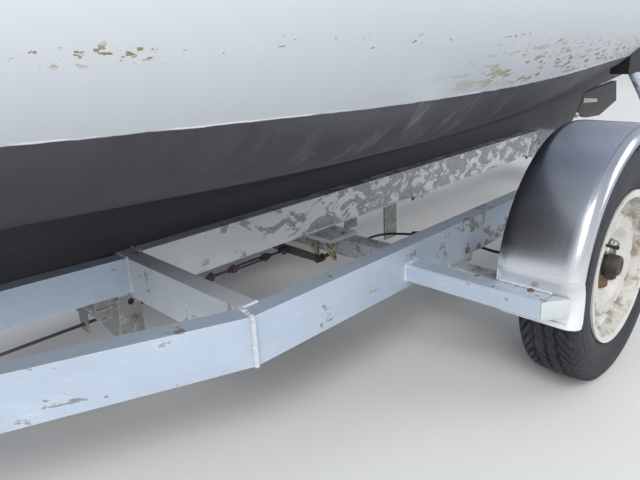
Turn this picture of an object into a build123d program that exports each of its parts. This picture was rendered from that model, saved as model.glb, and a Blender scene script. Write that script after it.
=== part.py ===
from build123d import *
from collections import namedtuple
from math import cos, radians, sin, tan
import os

os.makedirs("parts", exist_ok=True)

# Frame: +X towards the bow and the tow hitch, +Y to port, +Z up, Z = 0 on the ground, X = 0 at mid-length.
# Every place along the boat and its trailer is given as a distance ahead of the road axle.
axle_x = -12.5

# Chassis rails, all with their tops at one height
rail_top = 356.0
rail_width = 45.0
rail_wall = 5.0
outer_depth = 102.0
inner_depth = 110.0
front_depth = 88.0
outer_face = 637.0
kink_ahead = 810.0
kink_angle = 21.85
inner_face = 138.5
front_face = 156.5
front_angle = 6.39
inner_end = -1440.0
outer_end = -2080.0
nose_start = 1785.0
drawbar_half = 50.0
drawbar_end = 3800.0
tube_corner = 8.0

# Keel bearers, the plank that the keel stands on, and the rear tube
bearer_thick = 10.0
bearer_length = 90.0
bearer_places = (700.0, -420.0, -1370.0)
plank_thick = 16.0
plank_half = 70.0
plank_front = 1120.0
plank_nose_half = 45.0
plank_end = -1990.0
rear_tube = 60.0
rear_tube_ahead = -1960.0

# Road wheels
wheel_radius = 285.0
tyre_width = 140.0
wheel_outer = 1011.0
rim_radius = 187.0
rim_seat_radius = 165.0
rim_well_radius = 146.0
rim_sheet = 5.0
rim_face = 22.0
rim_openings = 10
hub_radius = 46.0
drum_radius = 106.0
drum_width = 62.0
stub_radius = 17.0
shaft_gap = 0.05
stub_short = 18.0
drum_wall = 8.0
hub_flange = 10.0
flange_rim = 18.0
cap_radius = 27.0
cap_length = 34.0
rim_edge = 8.0
tread_edge = 20.0
tread_drop = 4.0
groove_width = 6.0
groove_depth = 7.0
groove_pitch = 26.0

# Axle beam and trailing arms
beam_size = 60.0
beam_ahead = 110.0
beam_height = 205.0
bracket_length = 110.0
saddle_reach = 90.0
saddle_over = 100.0
arm_face = 800.0
arm_thick = 24.0
arm_half = 34.0
brake_plate = 5.0
plate_radius = 100.0
running_gap = 6.0
seat_gap = 0.3

# Mudguards and the bars that carry them
guard_radius = 315.0
guard_centre = 300.0
guard_sheet = 3.0
guard_inner = 846.0
guard_outer = 1050.0
guard_lip = 8.0
guard_wall = 62.0
bar_width = 50.0
bar_depth = 42.0
bar_bottom = 272.0
bar_gap = 308.0
bar_end = 966.0
bar_chamfer = 4.0
apron_bottom = 205.0

# Hitch, jockey wheel, winch post and bow stop
hitch_length = 190.0
hitch_half = 34.0
hitch_height = 70.0
hitch_drop = 8.0
hitch_flange = 8.0
handle_thick = 18.0
ball_radius = 25.2
ball_mouth = 16.0
jockey_ahead = 3620.0
jockey_side = 98.0
jockey_radius = 100.0
jockey_width = 50.0
jockey_trail = 46.0
jockey_tube = 24.0
jockey_stem = 18.0
jockey_tube_foot = 236.0
jockey_top = 860.0
fork_sheet = 5.0
stem_gap = 0.05
clamp_depth = 70.0
clamp_wall = 8.0
crank_reach = 130.0
crank_rise = 20.0
pin_radius = 8.0
jockey_side_half = 24.0
jockey_web = 14.0
jockey_rim_inner = 72.0
jockey_hub_outer = 22.0
post_ahead = 3500.0
post_size = 60.0
post_top = 1000.0
post_web = 8.0
web_reach = 200.0
stop_arm_half = 25.0
stop_half = (60.0, 40.0)
stop_height = 870.0
stop_ahead = 3250.0

# Hull supports: places on the outer rails, and the middles of their pads
front_post_ahead = 1500.0
front_pad = (330.0, 575.0)
rear_pad = (340.0, 640.0)
post_radius = 20.0
pad_length = 240.0
pad_width = 90.0
pad_reach = 90.0
foot_plate = 60.0
foot_sheet = 8.0

# Hull: one row for each station, from the stern to the stem head
station_columns = "ahead sheer_y sheer_z turn_y turn_z flare slope turn_r root_y root_z low_y low_z"
Station = namedtuple("Station", station_columns)
stations = (
    Station(-3965, 290, 1290, 185, 935, 62, 40, 120, 42, 810, 12, 775),
    Station(-3200, 555, 1262, 195, 700, 48, 38, 120, 50, 585, 12, 560),
    Station(-2300, 780, 1250, 300, 685, 50, 34, 180, 80, 505, 22, 470),
    Station(-1100, 950, 1250, 540, 693, 55, 22, 230, 160, 498, 66, 425),
    Station(-100, 1020, 1265, 765, 708, 58, 17, 250, 195, 495, 84, 420),
    Station(700, 1030, 1300, 825, 720, 58, 17, 250, 200, 500, 88, 420),
    Station(1500, 960, 1370, 610, 736, 56, 22, 230, 160, 512, 62, 428),
    Station(2280, 775, 1450, 385, 795, 56, 30, 190, 95, 570, 30, 500),
    Station(2930, 510, 1530, 215, 945, 60, 40, 120, 50, 740, 16, 690),
    Station(3350, 268, 1600, 108, 1195, 64, 50, 60, 28, 1030, 12, 990),
    Station(3620, 34, 1645, 26, 1560, 80, 70, 20, 18, 1470, 10, 1440),
)
hollow_sag = 0.12

# Keel: half breadths along it, and its foot rising to the stem
KeelRow = namedtuple("KeelRow", "ahead half")
keel_rows = (
    KeelRow(-2330, 16),
    KeelRow(-1100, 54),
    KeelRow(-130, 72),
    KeelRow(700, 84),
    KeelRow(1150, 58),
    KeelRow(1700, 14),
)
keel_toe = ((1150, 0), (1150, 262), (1450, 330), (1650, 500), (1900, 500), (1900, 0))
keel_head = 500.0
keel_heel_ahead = -2040.0

# Rudder on its raked stock
stock_ahead = -2200.0
stock_foot = 352.0
stock_rake = 36.0
stock_radius = 15.0
trunk_gap = 3.0
blade_thick = 34.0
blade_gap = 9.0
heel_radius = 24.0
heel_depth = 16.0
heel_sheet = 20.0
blade_corners = ((-2225, 338), (-2345, 300), (-2555, 290), (-2835, 357), (-2795, 488), (-2275, 455), (-2190, 338))
tiller_root = 1430.0
tiller_length = 1050.0
tiller_rise = 200.0
tiller_radius = 17.0
tiller_knuckle = 30.0

# Deck, coachroof, cockpit and cabin
deck_edge = 14.0
deck_crown = 46.0
coach_sheet = 24.0
CoachRow = namedtuple("CoachRow", "ahead base_y edge_y edge_z crown_z")
coach_rows = (
    CoachRow(-545, 600, 545, 1535, 1600),
    CoachRow(80, 600, 545, 1535, 1600),
    CoachRow(750, 520, 460, 1532, 1590),
    CoachRow(1380, 350, 285, 1500, 1540),
)
coach_base = 1235.0
window_length = 340.0
window_height = 110.0
window_places = (-230.0, 230.0, 690.0)
window_z = 1440.0
glass_gap = 0.3
well_front = -575.0
well_back = -2700.0
well_front_half = 545.0
well_back_half = 370.0
seat_height = 1020.0
foot_height = 740.0
foot_half = 230.0
foot_inset = 250.0
coaming_thick = 22.0
coaming_top = 1432.0
locker_ahead = (-2150.0, -1250.0)
locker_side = (275.0, 385.0)
locker_floor = 840.0
lid_thick = 18.0
lid_lap = 14.0
door_half = 270.0
door_sill = 1120.0
board_thick = 22.0
cabin_back = -515.0
cabin_front = 1150.0
bunk_height = 860.0
cabin_half = 560.0
sole_height = 610.0
sole_half = 220.0
slide_length = 620.0
slide_half = 300.0
slide_lift = 1612.0
slide_thick = 26.0
slide_rail = 20.0
slide_travel = 540.0
forehatch_ahead = 2180.0
forehatch_size = 400.0
forehatch_rim = 34.0
forehatch_top = 1545.0
forelocker_floor = 1180.0
lid_over = 14.0
strake_width = 24.0
strake_depth = 44.0
toe_width = 22.0
toe_rise = 40.0

# Rig
mast_ahead = 1660.0
mast_radius = 52.0
mast_tip_radius = 34.0
mast_top = 6150.0
step_top = 1465.0
step_radius = 88.0
boom_height = 2000.0
boom_length = 4150.0
boom_radius = 38.0
jaw_gap = 7.0
jaw_wall = 26.0
jaw_thick = 34.0
gaff_length = 2900.0
gaff_radius = 30.0
chock = 10.0
lift_height = 5950.0
wire_radius = 3.5
hounds_height = 5550.0
shroud_ahead = 1330.0
plate_inset = 40.0
screw_share = 0.045
screw_radius = 9.0

# Bow eye, winch strap, light board and brake gear
stop_deep = 95.0
eye_ahead = 3438.0
eye_height = 1070.0
eye_radius = 22.0
eye_bore = 9.0
eye_thick = 10.0
eye_tang = 90.0
strap_width = 45.0
strap_sheet = 3.0
winch_reach = 55.0
winch_drop = 50.0
winch_half = 46.0
winch_high = 90.0
winch_drum = 30.0
winch_crank = 200.0
winch_crank_side = 118.0
pad_sink = 45.0
board_half = 640.0
board_low = 122.0
board_high = 236.0
board_sheet = 16.0
linkage_height = 158.0
linkage_radius = 7.0
screw_front = 475.0
screw_back = 245.0
cross_bar_ahead = 170.0
cradle_ahead = 880.0
hanger_ahead = 2300.0
linkage_front = 240.0
leg_ahead = -265.0
leg_foot = 100.0
leg_half = 35.0
cradle_half = 146.0
hanger_half = 46.0
plate_sheet = 6.0
knob_radius = 14.0
screw_body = 11.0
bar_half_height = 14.0
cable_side = 150.0
cable_radius = 4.0
cable_bend = (60.0, 60.0, 90.0)


def at(ahead):
    return axle_x + ahead


def block(x, y, z, mode=Mode.ADD):
    with Locations(((x[0] + x[1]) / 2, (y[0] + y[1]) / 2, (z[0] + z[1]) / 2)):
        Box(x[1] - x[0], y[1] - y[0], z[1] - z[0], mode=mode)


def rod(start, end, radius, mode=Mode.ADD, tip=None):
    run = Vector(*end) - Vector(*start)
    up = (Align.CENTER, Align.CENTER, Align.MIN)
    with Locations(Plane(origin=start, z_dir=run)):
        if tip is None:
            Cylinder(radius, run.length, align=up, mode=mode)
        else:
            Cone(radius, tip, run.length, align=up, mode=mode)


def ring(foot, top, outer, inner):
    rod(foot, top, outer)
    rod(foot, top, inner, mode=Mode.SUBTRACT)


def write(piece, label):
    piece.part.label = label
    export_step(piece.part, f"parts/{label}.step")


def write_pair(piece, label):
    write(piece, f"{label}_port")
    with BuildPart() as twin:
        mirror(piece.part, about=Plane.XZ)
    write(twin, f"{label}_starboard")


def between(rows, ahead, field):
    for low, high in zip(rows, rows[1:]):
        if low.ahead <= ahead <= high.ahead:
            share = (ahead - low.ahead) / (high.ahead - low.ahead)
            return getattr(low, field) + share * (getattr(high, field) - getattr(low, field))
    raise ValueError(f"{ahead} is outside the table")


# Box-section rails, open at their free ends
kink_x = at(kink_ahead)
outer_centre = outer_face - rail_width / 2
outer_reach = (outer_centre - drawbar_half / 2) / sin(radians(kink_angle))
apex = (kink_x + outer_reach * cos(radians(kink_angle)), drawbar_half / 2)


def box_rail(points, depth, width=rail_width):
    for trim, mode in ((0, Mode.ADD), (rail_wall, Mode.SUBTRACT)):
        with BuildSketch(Plane.XY.offset(rail_top - depth + trim)) as outline:
            with BuildLine() as path:
                Polyline(*points)
            trace(path.line, width - 2 * trim)
        extrude(outline.sketch, amount=depth - 2 * trim, mode=mode)


with BuildPart() as outer_rails:
    box_rail(((at(outer_end), outer_centre), (kink_x, outer_centre), apex), outer_depth)
    block((kink_x, apex[0] + 500), (-drawbar_half, drawbar_half), (0, 2 * rail_top), Mode.SUBTRACT)
    mirror(about=Plane.XZ)
write(outer_rails, "outer_rails")

inner_centre = inner_face - rail_width / 2
cross_back = kink_x - rail_width
with BuildPart() as inner_rails:
    box_rail(((at(inner_end), inner_centre), (cross_back, inner_centre)), inner_depth)
    mirror(about=Plane.XZ)
write(inner_rails, "inner_rails")

front_centre = front_face - rail_width / 2 / cos(radians(front_angle))
front_slope = tan(radians(front_angle))
nose_x = at(nose_start)
with BuildPart() as front_rails:
    over = 100
    front_back = (kink_x - over, front_centre + over * front_slope)
    front_tip = (nose_x + over, front_centre - (nose_x + over - kink_x) * front_slope)
    box_rail((front_back, front_tip), front_depth)
    block((kink_x - 2 * over, kink_x), (0, 300), (0, 2 * rail_top), Mode.SUBTRACT)
    block((nose_x, nose_x + 2 * over), (-100, 300), (0, 2 * rail_top), Mode.SUBTRACT)
    mirror(about=Plane.XZ)
write(front_rails, "front_rails")

with BuildPart() as drawbar:
    box_rail(((nose_x, 0), (at(drawbar_end), 0)), outer_depth, 2 * drawbar_half)
write(drawbar, "drawbar")

# Cross-members between the outer and the inner rails, front and rear
outer_bottom = rail_top - outer_depth
outer_inside = outer_face - rail_width
with BuildPart() as cross_members:
    block((cross_back, kink_x), (inner_face - rail_width, outer_inside), (outer_bottom, rail_top))
    block(
        (at(inner_end) - rail_width, at(inner_end)),
        (inner_face - rail_width, outer_inside),
        (outer_bottom, rail_top),
    )
    mirror(about=Plane.XZ)
    add(outer_rails.part, mode=Mode.SUBTRACT)
write(cross_members, "cross_members")

# Keel bearers under the inner rails, the tube behind them and the plank that the keel stands on
inner_bottom = rail_top - inner_depth
keel_foot = inner_bottom + plank_thick
rear_x = at(rear_tube_ahead)
with BuildPart() as keel_bearers:
    for place in bearer_places:
        with Locations((at(place), 0, inner_bottom - bearer_thick / 2)):
            Box(bearer_length, 2 * inner_face, bearer_thick)
write(keel_bearers, "keel_bearers")

with BuildPart() as rear_cross_tube:
    with BuildSketch(Plane.XZ.offset(-outer_face)):
        with Locations((rear_x, inner_bottom - rear_tube / 2)):
            RectangleRounded(rear_tube, rear_tube, tube_corner)
            bore = rear_tube - 2 * rail_wall
            RectangleRounded(bore, bore, tube_corner / 2, mode=Mode.SUBTRACT)
    extrude(amount=2 * outer_face)
    for side in (-1, 1):
        with Locations((rear_x, side * outer_centre, (inner_bottom + outer_bottom) / 2)):
            Box(rear_tube, rail_width, outer_bottom - inner_bottom)
write(rear_cross_tube, "rear_cross_tube")

with BuildPart() as keel_plank:
    with BuildSketch(Plane.XY.offset(inner_bottom)):
        with BuildLine():
            Polyline(
                (at(plank_end), plank_half),
                (at(bearer_places[0]), plank_half),
                (at(plank_front), plank_nose_half),
                (at(plank_front), -plank_nose_half),
                (at(bearer_places[0]), -plank_half),
                (at(plank_end), -plank_half),
                close=True,
            )
        make_face()
    extrude(amount=plank_thick)
write(keel_plank, "keel_plank")

# Axle beam, trailing arms with brake plates, and stub axles
beam_x = at(beam_ahead)
beam_top = beam_height + beam_size / 2
with BuildPart() as axle_beam:
    with BuildSketch(Plane.XZ.offset(-arm_face)):
        with Locations((beam_x, beam_height)):
            RectangleRounded(beam_size, beam_size, tube_corner)
    extrude(amount=2 * arm_face)
    for side in (-1, 1):
        with Locations((beam_x, side * outer_centre, (beam_top + outer_bottom) / 2)):
            Box(bracket_length, rail_width, outer_bottom - beam_top)
        block(
            (beam_x - beam_size / 2, beam_x + saddle_reach),
            sorted((side * (inner_face - rail_width), side * (inner_face + saddle_over))),
            (beam_top, inner_bottom),
        )
write(axle_beam, "axle_beam")

arm_outer = arm_face + arm_thick
plate_outer = arm_outer + brake_plate
drum_inner = plate_outer + running_gap
wheel_middle = wheel_outer - tyre_width / 2
disc_inside = wheel_middle + rim_face - rim_sheet / 2
stub_end = disc_inside - stub_short


def wheel_point(y, up=0.0):
    return (at(0), y, wheel_radius + up)


with BuildPart() as axle_arm:
    with BuildSketch(Plane.XZ.offset(-arm_outer)) as arm_outline:
        with BuildLine() as arm_line:
            Line((beam_x, beam_height), (at(0), wheel_radius))
        trace(arm_line.line, 2 * arm_half)
        with Locations((beam_x, beam_height), (at(0), wheel_radius)):
            Circle(arm_half)
    extrude(amount=arm_thick)
    rod(wheel_point(arm_outer), wheel_point(plate_outer), plate_radius)
    rod(wheel_point(plate_outer), wheel_point(stub_end), stub_radius)
write_pair(axle_arm, "axle_arm")

# Wheels: hub with brake drum, pressed rim, and tyre with three grooves round its tread
wheel_plane = Plane(origin=wheel_point(0), x_dir=(0, 1, 0), z_dir=(1, 0, 0))
wheel_axis = Axis(wheel_point(0), (0, 1, 0))
with BuildPart() as hub:
    rod(wheel_point(drum_inner), wheel_point(drum_inner + drum_width), drum_radius)
    drum_depth = drum_width - drum_wall
    rod(wheel_point(drum_inner), wheel_point(drum_inner + drum_depth), drum_radius - drum_wall, mode=Mode.SUBTRACT)
    rod(wheel_point(drum_inner), wheel_point(disc_inside), hub_radius)
    rod(wheel_point(disc_inside - hub_flange), wheel_point(disc_inside), hub_radius + flange_rim)
    rod(wheel_point(disc_inside), wheel_point(disc_inside + cap_length), cap_radius, tip=cap_radius - 5)
    rod(wheel_point(drum_inner), wheel_point(stub_end + 2), stub_radius + shaft_gap, mode=Mode.SUBTRACT)
write_pair(hub, "hub")

rim_half = tyre_width / 2 - rim_edge
with BuildPart() as rim:
    with BuildSketch(wheel_plane):
        with BuildLine() as barrel:
            Polyline(
                (wheel_middle - rim_half, rim_radius - rim_sheet / 2),
                (wheel_middle - rim_half + 2, rim_seat_radius + 4),
                (wheel_middle - rim_half + 26, rim_seat_radius),
                (wheel_middle - rim_half + 38, rim_well_radius),
                (wheel_middle + rim_half - 50, rim_well_radius),
                (wheel_middle + rim_half - 36, rim_seat_radius),
                (wheel_middle + rim_half - 2, rim_seat_radius + 4),
                (wheel_middle + rim_half, rim_radius - rim_sheet / 2),
            )
        trace(barrel.line, rim_sheet)
        with BuildLine() as disc:
            Polyline(
                (wheel_middle + 8, rim_well_radius - rim_sheet / 2),
                (wheel_middle + 40, rim_well_radius - 28),
                (wheel_middle + 38, rim_well_radius - 54),
                (wheel_middle + rim_face, hub_radius + 24),
                (wheel_middle + rim_face, cap_radius + 3),
            )
        trace(disc.line, rim_sheet)
    revolve(axis=wheel_axis)
    with Locations(Plane(origin=wheel_point(wheel_outer), x_dir=(1, 0, 0), z_dir=(0, 1, 0))):
        with PolarLocations(rim_well_radius - 24, rim_openings):
            Cylinder(9, 2 * tyre_width, mode=Mode.SUBTRACT)
write_pair(rim, "rim")

bead_inset = rim_sheet / 2 + 2 + seat_gap
with BuildPart() as tyre:
    with BuildSketch(wheel_plane):
        with BuildLine():
            bead = rim_seat_radius + 4 + rim_sheet / 2 + seat_gap
            shoulder = (wheel_outer - 12, wheel_radius - 12)
            Line((wheel_middle, bead), (wheel_middle + rim_half - bead_inset, bead))
            Line((wheel_middle + rim_half - bead_inset, bead), (wheel_middle + rim_half - bead_inset, rim_radius - 2))
            ThreePointArc(
                (wheel_middle + rim_half - bead_inset, rim_radius - 2),
                (wheel_outer, (rim_radius + wheel_radius) / 2),
                shoulder,
            )
            Line(shoulder, (wheel_outer - tread_edge, wheel_radius - tread_drop))
            ThreePointArc(
                (wheel_outer - tread_edge, wheel_radius - tread_drop),
                (wheel_middle, wheel_radius),
                (wheel_outer - tyre_width + tread_edge, wheel_radius - tread_drop),
            )
            mirror(about=Plane.YZ.offset(wheel_middle))
        make_face()
        with Locations(*[(wheel_middle + step * groove_pitch, wheel_radius) for step in (-1, 0, 1)]):
            Rectangle(groove_width, 2 * groove_depth, mode=Mode.SUBTRACT)
    revolve(axis=wheel_axis)
write_pair(tyre, "tyre")

# Mudguards: one half ring each, with a rolled outer lip and an inner wall, on a bar at either foot
bar_top = bar_bottom + bar_depth
guard_axis = Axis((at(0), 0, guard_centre), (0, 1, 0))
guard_plane = Plane(origin=(at(0), 0, guard_centre), x_dir=(0, 1, 0), z_dir=(1, 0, 0))
guard_span = guard_outer - guard_inner
with BuildPart() as guard_bars:
    for front in (bar_gap, -bar_gap - bar_width):
        block((at(front), at(front + bar_width)), (outer_face, bar_end), (bar_bottom, bar_top))
    chamfer(guard_bars.edges().filter_by(Axis.Y), bar_chamfer)
    mirror(about=Plane.XZ)
write(guard_bars, "guard_bars")

with BuildPart() as mudguard:
    with BuildSketch(guard_plane):
        with Locations((guard_inner + guard_span / 2, guard_radius + guard_sheet / 2)):
            Rectangle(guard_span, guard_sheet)
        with Locations((guard_inner + guard_sheet / 2, guard_radius + guard_sheet - guard_wall / 2)):
            Rectangle(guard_sheet, guard_wall)
        with Locations((guard_outer, guard_radius + guard_sheet - guard_lip)):
            Circle(guard_lip)
    revolve(axis=guard_axis)
    half = 2 * guard_radius
    block((at(-half), at(half)), (guard_inner - half, guard_outer + half), (-half, bar_top), Mode.SUBTRACT)
    apron_ahead = guard_radius - 2 * guard_lip
    for way in (1, -1):
        foot = sorted((at(way * apron_ahead), at(way * (bar_gap + 0.6 * bar_width))))
        block(foot, (guard_inner, bar_end), (bar_top, bar_top + guard_sheet))
        apron = sorted((at(way * apron_ahead), at(way * (apron_ahead + guard_sheet))))
        block(apron, (guard_inner, guard_outer - guard_lip), (apron_bottom, bar_top + guard_sheet))
write_pair(mudguard, "mudguard")

# Tow hitch: a pressed head with a ball socket open below
hitch_back = at(drawbar_end)
hitch_front = hitch_back + hitch_length
ball_x = hitch_front - hitch_half
hitch_top = rail_top - hitch_drop
hitch_bottom = hitch_top - hitch_height
with BuildPart() as hitch_head:
    block((hitch_back, hitch_back + hitch_flange), (-drawbar_half, drawbar_half), (outer_bottom, rail_top))
    with BuildSketch(Plane.XY.offset(hitch_bottom)):
        with Locations((ball_x, 0)):
            Circle(hitch_half)
        with Locations(((hitch_back + ball_x) / 2, 0)):
            Rectangle(ball_x - hitch_back, 2 * hitch_half)
    extrude(amount=hitch_height)
    ball_z = hitch_bottom + ball_mouth
    with Locations((ball_x, 0, ball_z)):
        Sphere(ball_radius, mode=Mode.SUBTRACT)
    rod((ball_x, 0, hitch_bottom), (ball_x, 0, ball_z), ball_radius, mode=Mode.SUBTRACT)
    with BuildSketch(Plane.XZ.offset(-handle_thick / 2)):
        with BuildLine():
            Polyline(
                (hitch_back + 20, hitch_top),
                (hitch_back + 40, hitch_top + 26),
                (ball_x + 6, hitch_top + 16),
                (ball_x + 14, hitch_top),
                close=True,
            )
        make_face()
    extrude(amount=handle_thick)
write(hitch_head, "hitch_head")

# Jockey wheel: clamped tube with a crank, castoring fork and wheel
jockey_x = at(jockey_ahead)
jockey_y = -jockey_side
with BuildPart() as jockey_leg:
    rod((jockey_x, jockey_y, jockey_tube_foot), (jockey_x, jockey_y, jockey_top), jockey_tube)
    rod((jockey_x, jockey_y, rail_top - clamp_depth), (jockey_x, jockey_y, rail_top), jockey_tube + clamp_wall)
    block(
        (jockey_x - jockey_tube, jockey_x + jockey_tube),
        (jockey_y, -drawbar_half),
        (rail_top - clamp_depth, rail_top - 10),
    )
    crank_z = jockey_top + crank_rise
    grip_x = jockey_x + crank_reach - 6
    rod((jockey_x, jockey_y, jockey_top), (jockey_x, jockey_y, crank_z + 4), 8)
    rod((jockey_x, jockey_y, crank_z), (jockey_x + crank_reach, jockey_y, crank_z), 6)
    rod((grip_x, jockey_y, crank_z), (grip_x, jockey_y, crank_z + 80), 9)
    rod(
        (jockey_x, jockey_y, jockey_tube_foot),
        (jockey_x, jockey_y, rail_top),
        jockey_stem + stem_gap,
        mode=Mode.SUBTRACT,
    )
write(jockey_leg, "jockey_leg")

fork_top = 2 * jockey_radius + running_gap
fork_half = jockey_width / 2 + running_gap
wheel_x = jockey_x - jockey_trail
with BuildPart() as jockey_fork:
    rod((jockey_x, jockey_y, fork_top), (jockey_x, jockey_y, rail_top - 20), jockey_stem)
    block(
        (wheel_x - jockey_side_half, jockey_x + jockey_side_half),
        (jockey_y - fork_half - fork_sheet, jockey_y + fork_half + fork_sheet),
        (fork_top, fork_top + fork_sheet),
    )
    for side in (-1, 1):
        with BuildSketch(Plane.XZ.offset(-jockey_y - side * (fork_half + fork_sheet / 2))):
            with BuildLine():
                Polyline(
                    (wheel_x - jockey_side_half, jockey_radius - 20),
                    (wheel_x + jockey_side_half, jockey_radius - 20),
                    (jockey_x + jockey_side_half, fork_top + fork_sheet),
                    (wheel_x - jockey_side_half, fork_top + fork_sheet),
                    close=True,
                )
            make_face()
        extrude(amount=fork_sheet / 2, both=True)
    pin_reach = fork_half + fork_sheet + 6
    rod((wheel_x, jockey_y - pin_reach, jockey_radius), (wheel_x, jockey_y + pin_reach, jockey_radius), pin_radius)
write(jockey_fork, "jockey_fork")

with BuildPart() as jockey_wheel:
    with BuildSketch(Plane(origin=(wheel_x, jockey_y, jockey_radius), x_dir=(0, 1, 0), z_dir=(1, 0, 0))):
        with BuildLine():
            Polyline(
                (-jockey_width / 2, pin_radius + stem_gap),
                (-jockey_width / 2, jockey_hub_outer),
                (-jockey_width / 2 + jockey_web, jockey_hub_outer + 4),
                (-jockey_width / 2 + jockey_web, jockey_rim_inner - 6),
                (-jockey_width / 2, jockey_rim_inner),
                (-jockey_width / 2, jockey_radius - 8),
            )
            ThreePointArc(
                (-jockey_width / 2, jockey_radius - 8),
                (0, jockey_radius),
                (jockey_width / 2, jockey_radius - 8),
            )
            Polyline(
                (jockey_width / 2, jockey_radius - 8),
                (jockey_width / 2, jockey_rim_inner),
                (jockey_width / 2 - jockey_web, jockey_rim_inner - 6),
                (jockey_width / 2 - jockey_web, jockey_hub_outer + 4),
                (jockey_width / 2, jockey_hub_outer),
                (jockey_width / 2, pin_radius + stem_gap),
                (-jockey_width / 2, pin_radius + stem_gap),
            )
        make_face()
    revolve(axis=Axis((wheel_x, jockey_y, jockey_radius), (0, 1, 0)))
write(jockey_wheel, "jockey_wheel")


# Hull: stations of tangent arcs from sheer to garboard, closed by a hollow above the keel
def down(angle):
    return Vector(-cos(radians(angle)), -sin(radians(angle)))


def hull_section(row):
    sheer = Vector(row.sheer_y, row.sheer_z)
    turn = Vector(row.turn_y, row.turn_z)
    root = Vector(row.root_y, row.root_z)
    low = Vector(row.low_y, row.low_z)
    flare = radians(row.flare)
    slope = radians(row.slope)
    bilge = turn + Vector(sin(slope) - sin(flare), cos(flare) - cos(slope)) * row.turn_r
    chord = low - root
    hollow = root + chord * 0.5 + Vector(chord.Y, -chord.X) * hollow_sag
    with BuildSketch(Plane.YZ.offset(at(row.ahead))) as section:
        with BuildLine():
            TangentArc(turn, sheer, tangent=down(row.flare) * -1)
            TangentArc(turn, bilge, tangent=down(row.flare))
            TangentArc(bilge, root, tangent=down(row.slope))
            ThreePointArc(root, hollow, low)
            Line(low, (0, row.low_z))
            Line(sheer, (0, row.sheer_z))
            mirror(about=Plane.YZ)
        make_face()
    return section.sketch


with BuildPart() as hull_form:
    loft([hull_section(row) for row in stations])

stock_way = Vector(-sin(radians(stock_rake)), 0, cos(radians(stock_rake)))


def on_stock(height):
    return Vector(at(stock_ahead) + (height - stock_foot) * stock_way.X / stock_way.Z, 0, height)


def plan_cut(front, back, front_half, back_half, low, high):
    with BuildSketch(Plane.XY.offset(low)) as outline:
        with BuildLine():
            Polyline(
                (at(front), front_half),
                (at(back), back_half),
                (at(back), -back_half),
                (at(front), -front_half),
                close=True,
            )
        make_face()
    extrude(outline.sketch, amount=high - low, mode=Mode.SUBTRACT)


# Cockpit well with seats, footwell and lockers, the same cut in hull and deck
hull_height = 2200.0
foot_back = well_back + foot_inset


def cut_cockpit():
    plan_cut(well_front, well_back, well_front_half, well_back_half, seat_height, hull_height)
    block((at(foot_back), at(well_front)), (-foot_half, foot_half), (foot_height, hull_height), Mode.SUBTRACT)
    for side in (-1, 1):
        inside, outside = sorted(side * reach for reach in locker_side)
        block(
            (at(locker_ahead[0]), at(locker_ahead[1])),
            (inside, outside),
            (locker_floor, hull_height),
            Mode.SUBTRACT,
        )
    rod(on_stock(0), on_stock(hull_height), stock_radius + trunk_gap, mode=Mode.SUBTRACT)


forehatch_front = forehatch_ahead + forehatch_size
forehatch_half = forehatch_size / 2 - forehatch_rim
with BuildPart() as hull:
    add(hull_form.part)
    cut_cockpit()
    block((at(cabin_back), at(cabin_front)), (-cabin_half, cabin_half), (bunk_height, hull_height), Mode.SUBTRACT)
    block((at(cabin_back), at(cabin_front)), (-sole_half, sole_half), (sole_height, hull_height), Mode.SUBTRACT)
    block((at(well_front), at(cabin_back)), (-door_half, door_half), (door_sill, hull_height), Mode.SUBTRACT)
    block(
        (at(forehatch_ahead + forehatch_rim), at(forehatch_front - forehatch_rim)),
        (-forehatch_half, forehatch_half),
        (forelocker_floor, hull_height),
        Mode.SUBTRACT,
    )
write(hull, "hull")

# Keel under the hull, its heel cut along the rudder stock
stock_clear = blade_thick / 2 + blade_gap
heel_turn = on_stock(stock_foot) + Vector(stock_way.Z, 0, -stock_way.X) * stock_clear
heel_top = heel_turn + stock_way * 400
with BuildPart() as keel:
    with BuildSketch(Plane.XY.offset(keel_foot)):
        with BuildLine():
            Polyline(
                *[(at(row.ahead), row.half) for row in keel_rows],
                *[(at(row.ahead), -row.half) for row in reversed(keel_rows)],
                close=True,
            )
        make_face()
    extrude(amount=keel_head - keel_foot)
    with BuildSketch(Plane.XZ.offset(-200)):
        with BuildLine():
            Polyline(
                (at(keel_heel_ahead), 0),
                (at(keel_heel_ahead), keel_foot),
                (heel_turn.X, heel_turn.Z),
                (heel_top.X, heel_top.Z),
                (heel_top.X - 600, heel_top.Z),
                (heel_top.X - 600, 0),
                close=True,
            )
        make_face()
        with BuildLine():
            Polyline(*[(at(ahead), height) for ahead, height in keel_toe], close=True)
        make_face()
    extrude(amount=400, mode=Mode.SUBTRACT)
    add(hull_form.part, mode=Mode.SUBTRACT)
write(keel, "keel")

# Rudder blade on its stock, and the heel fitting that carries its foot
heel_foot = stock_foot - 10
heel_low = on_stock(heel_foot) - stock_way * heel_depth
with BuildPart() as rudder:
    with BuildSketch(Plane.XZ.offset(-blade_thick / 2)):
        with BuildLine():
            Polyline(*[(at(ahead), height) for ahead, height in blade_corners], close=True)
        make_face()
    extrude(amount=blade_thick)
    rod(heel_low, on_stock(heel_foot + running_gap), heel_radius + running_gap, mode=Mode.SUBTRACT)
    rod(on_stock(heel_foot + shaft_gap), on_stock(tiller_root + 20), stock_radius)
write(rudder, "rudder")

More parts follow.
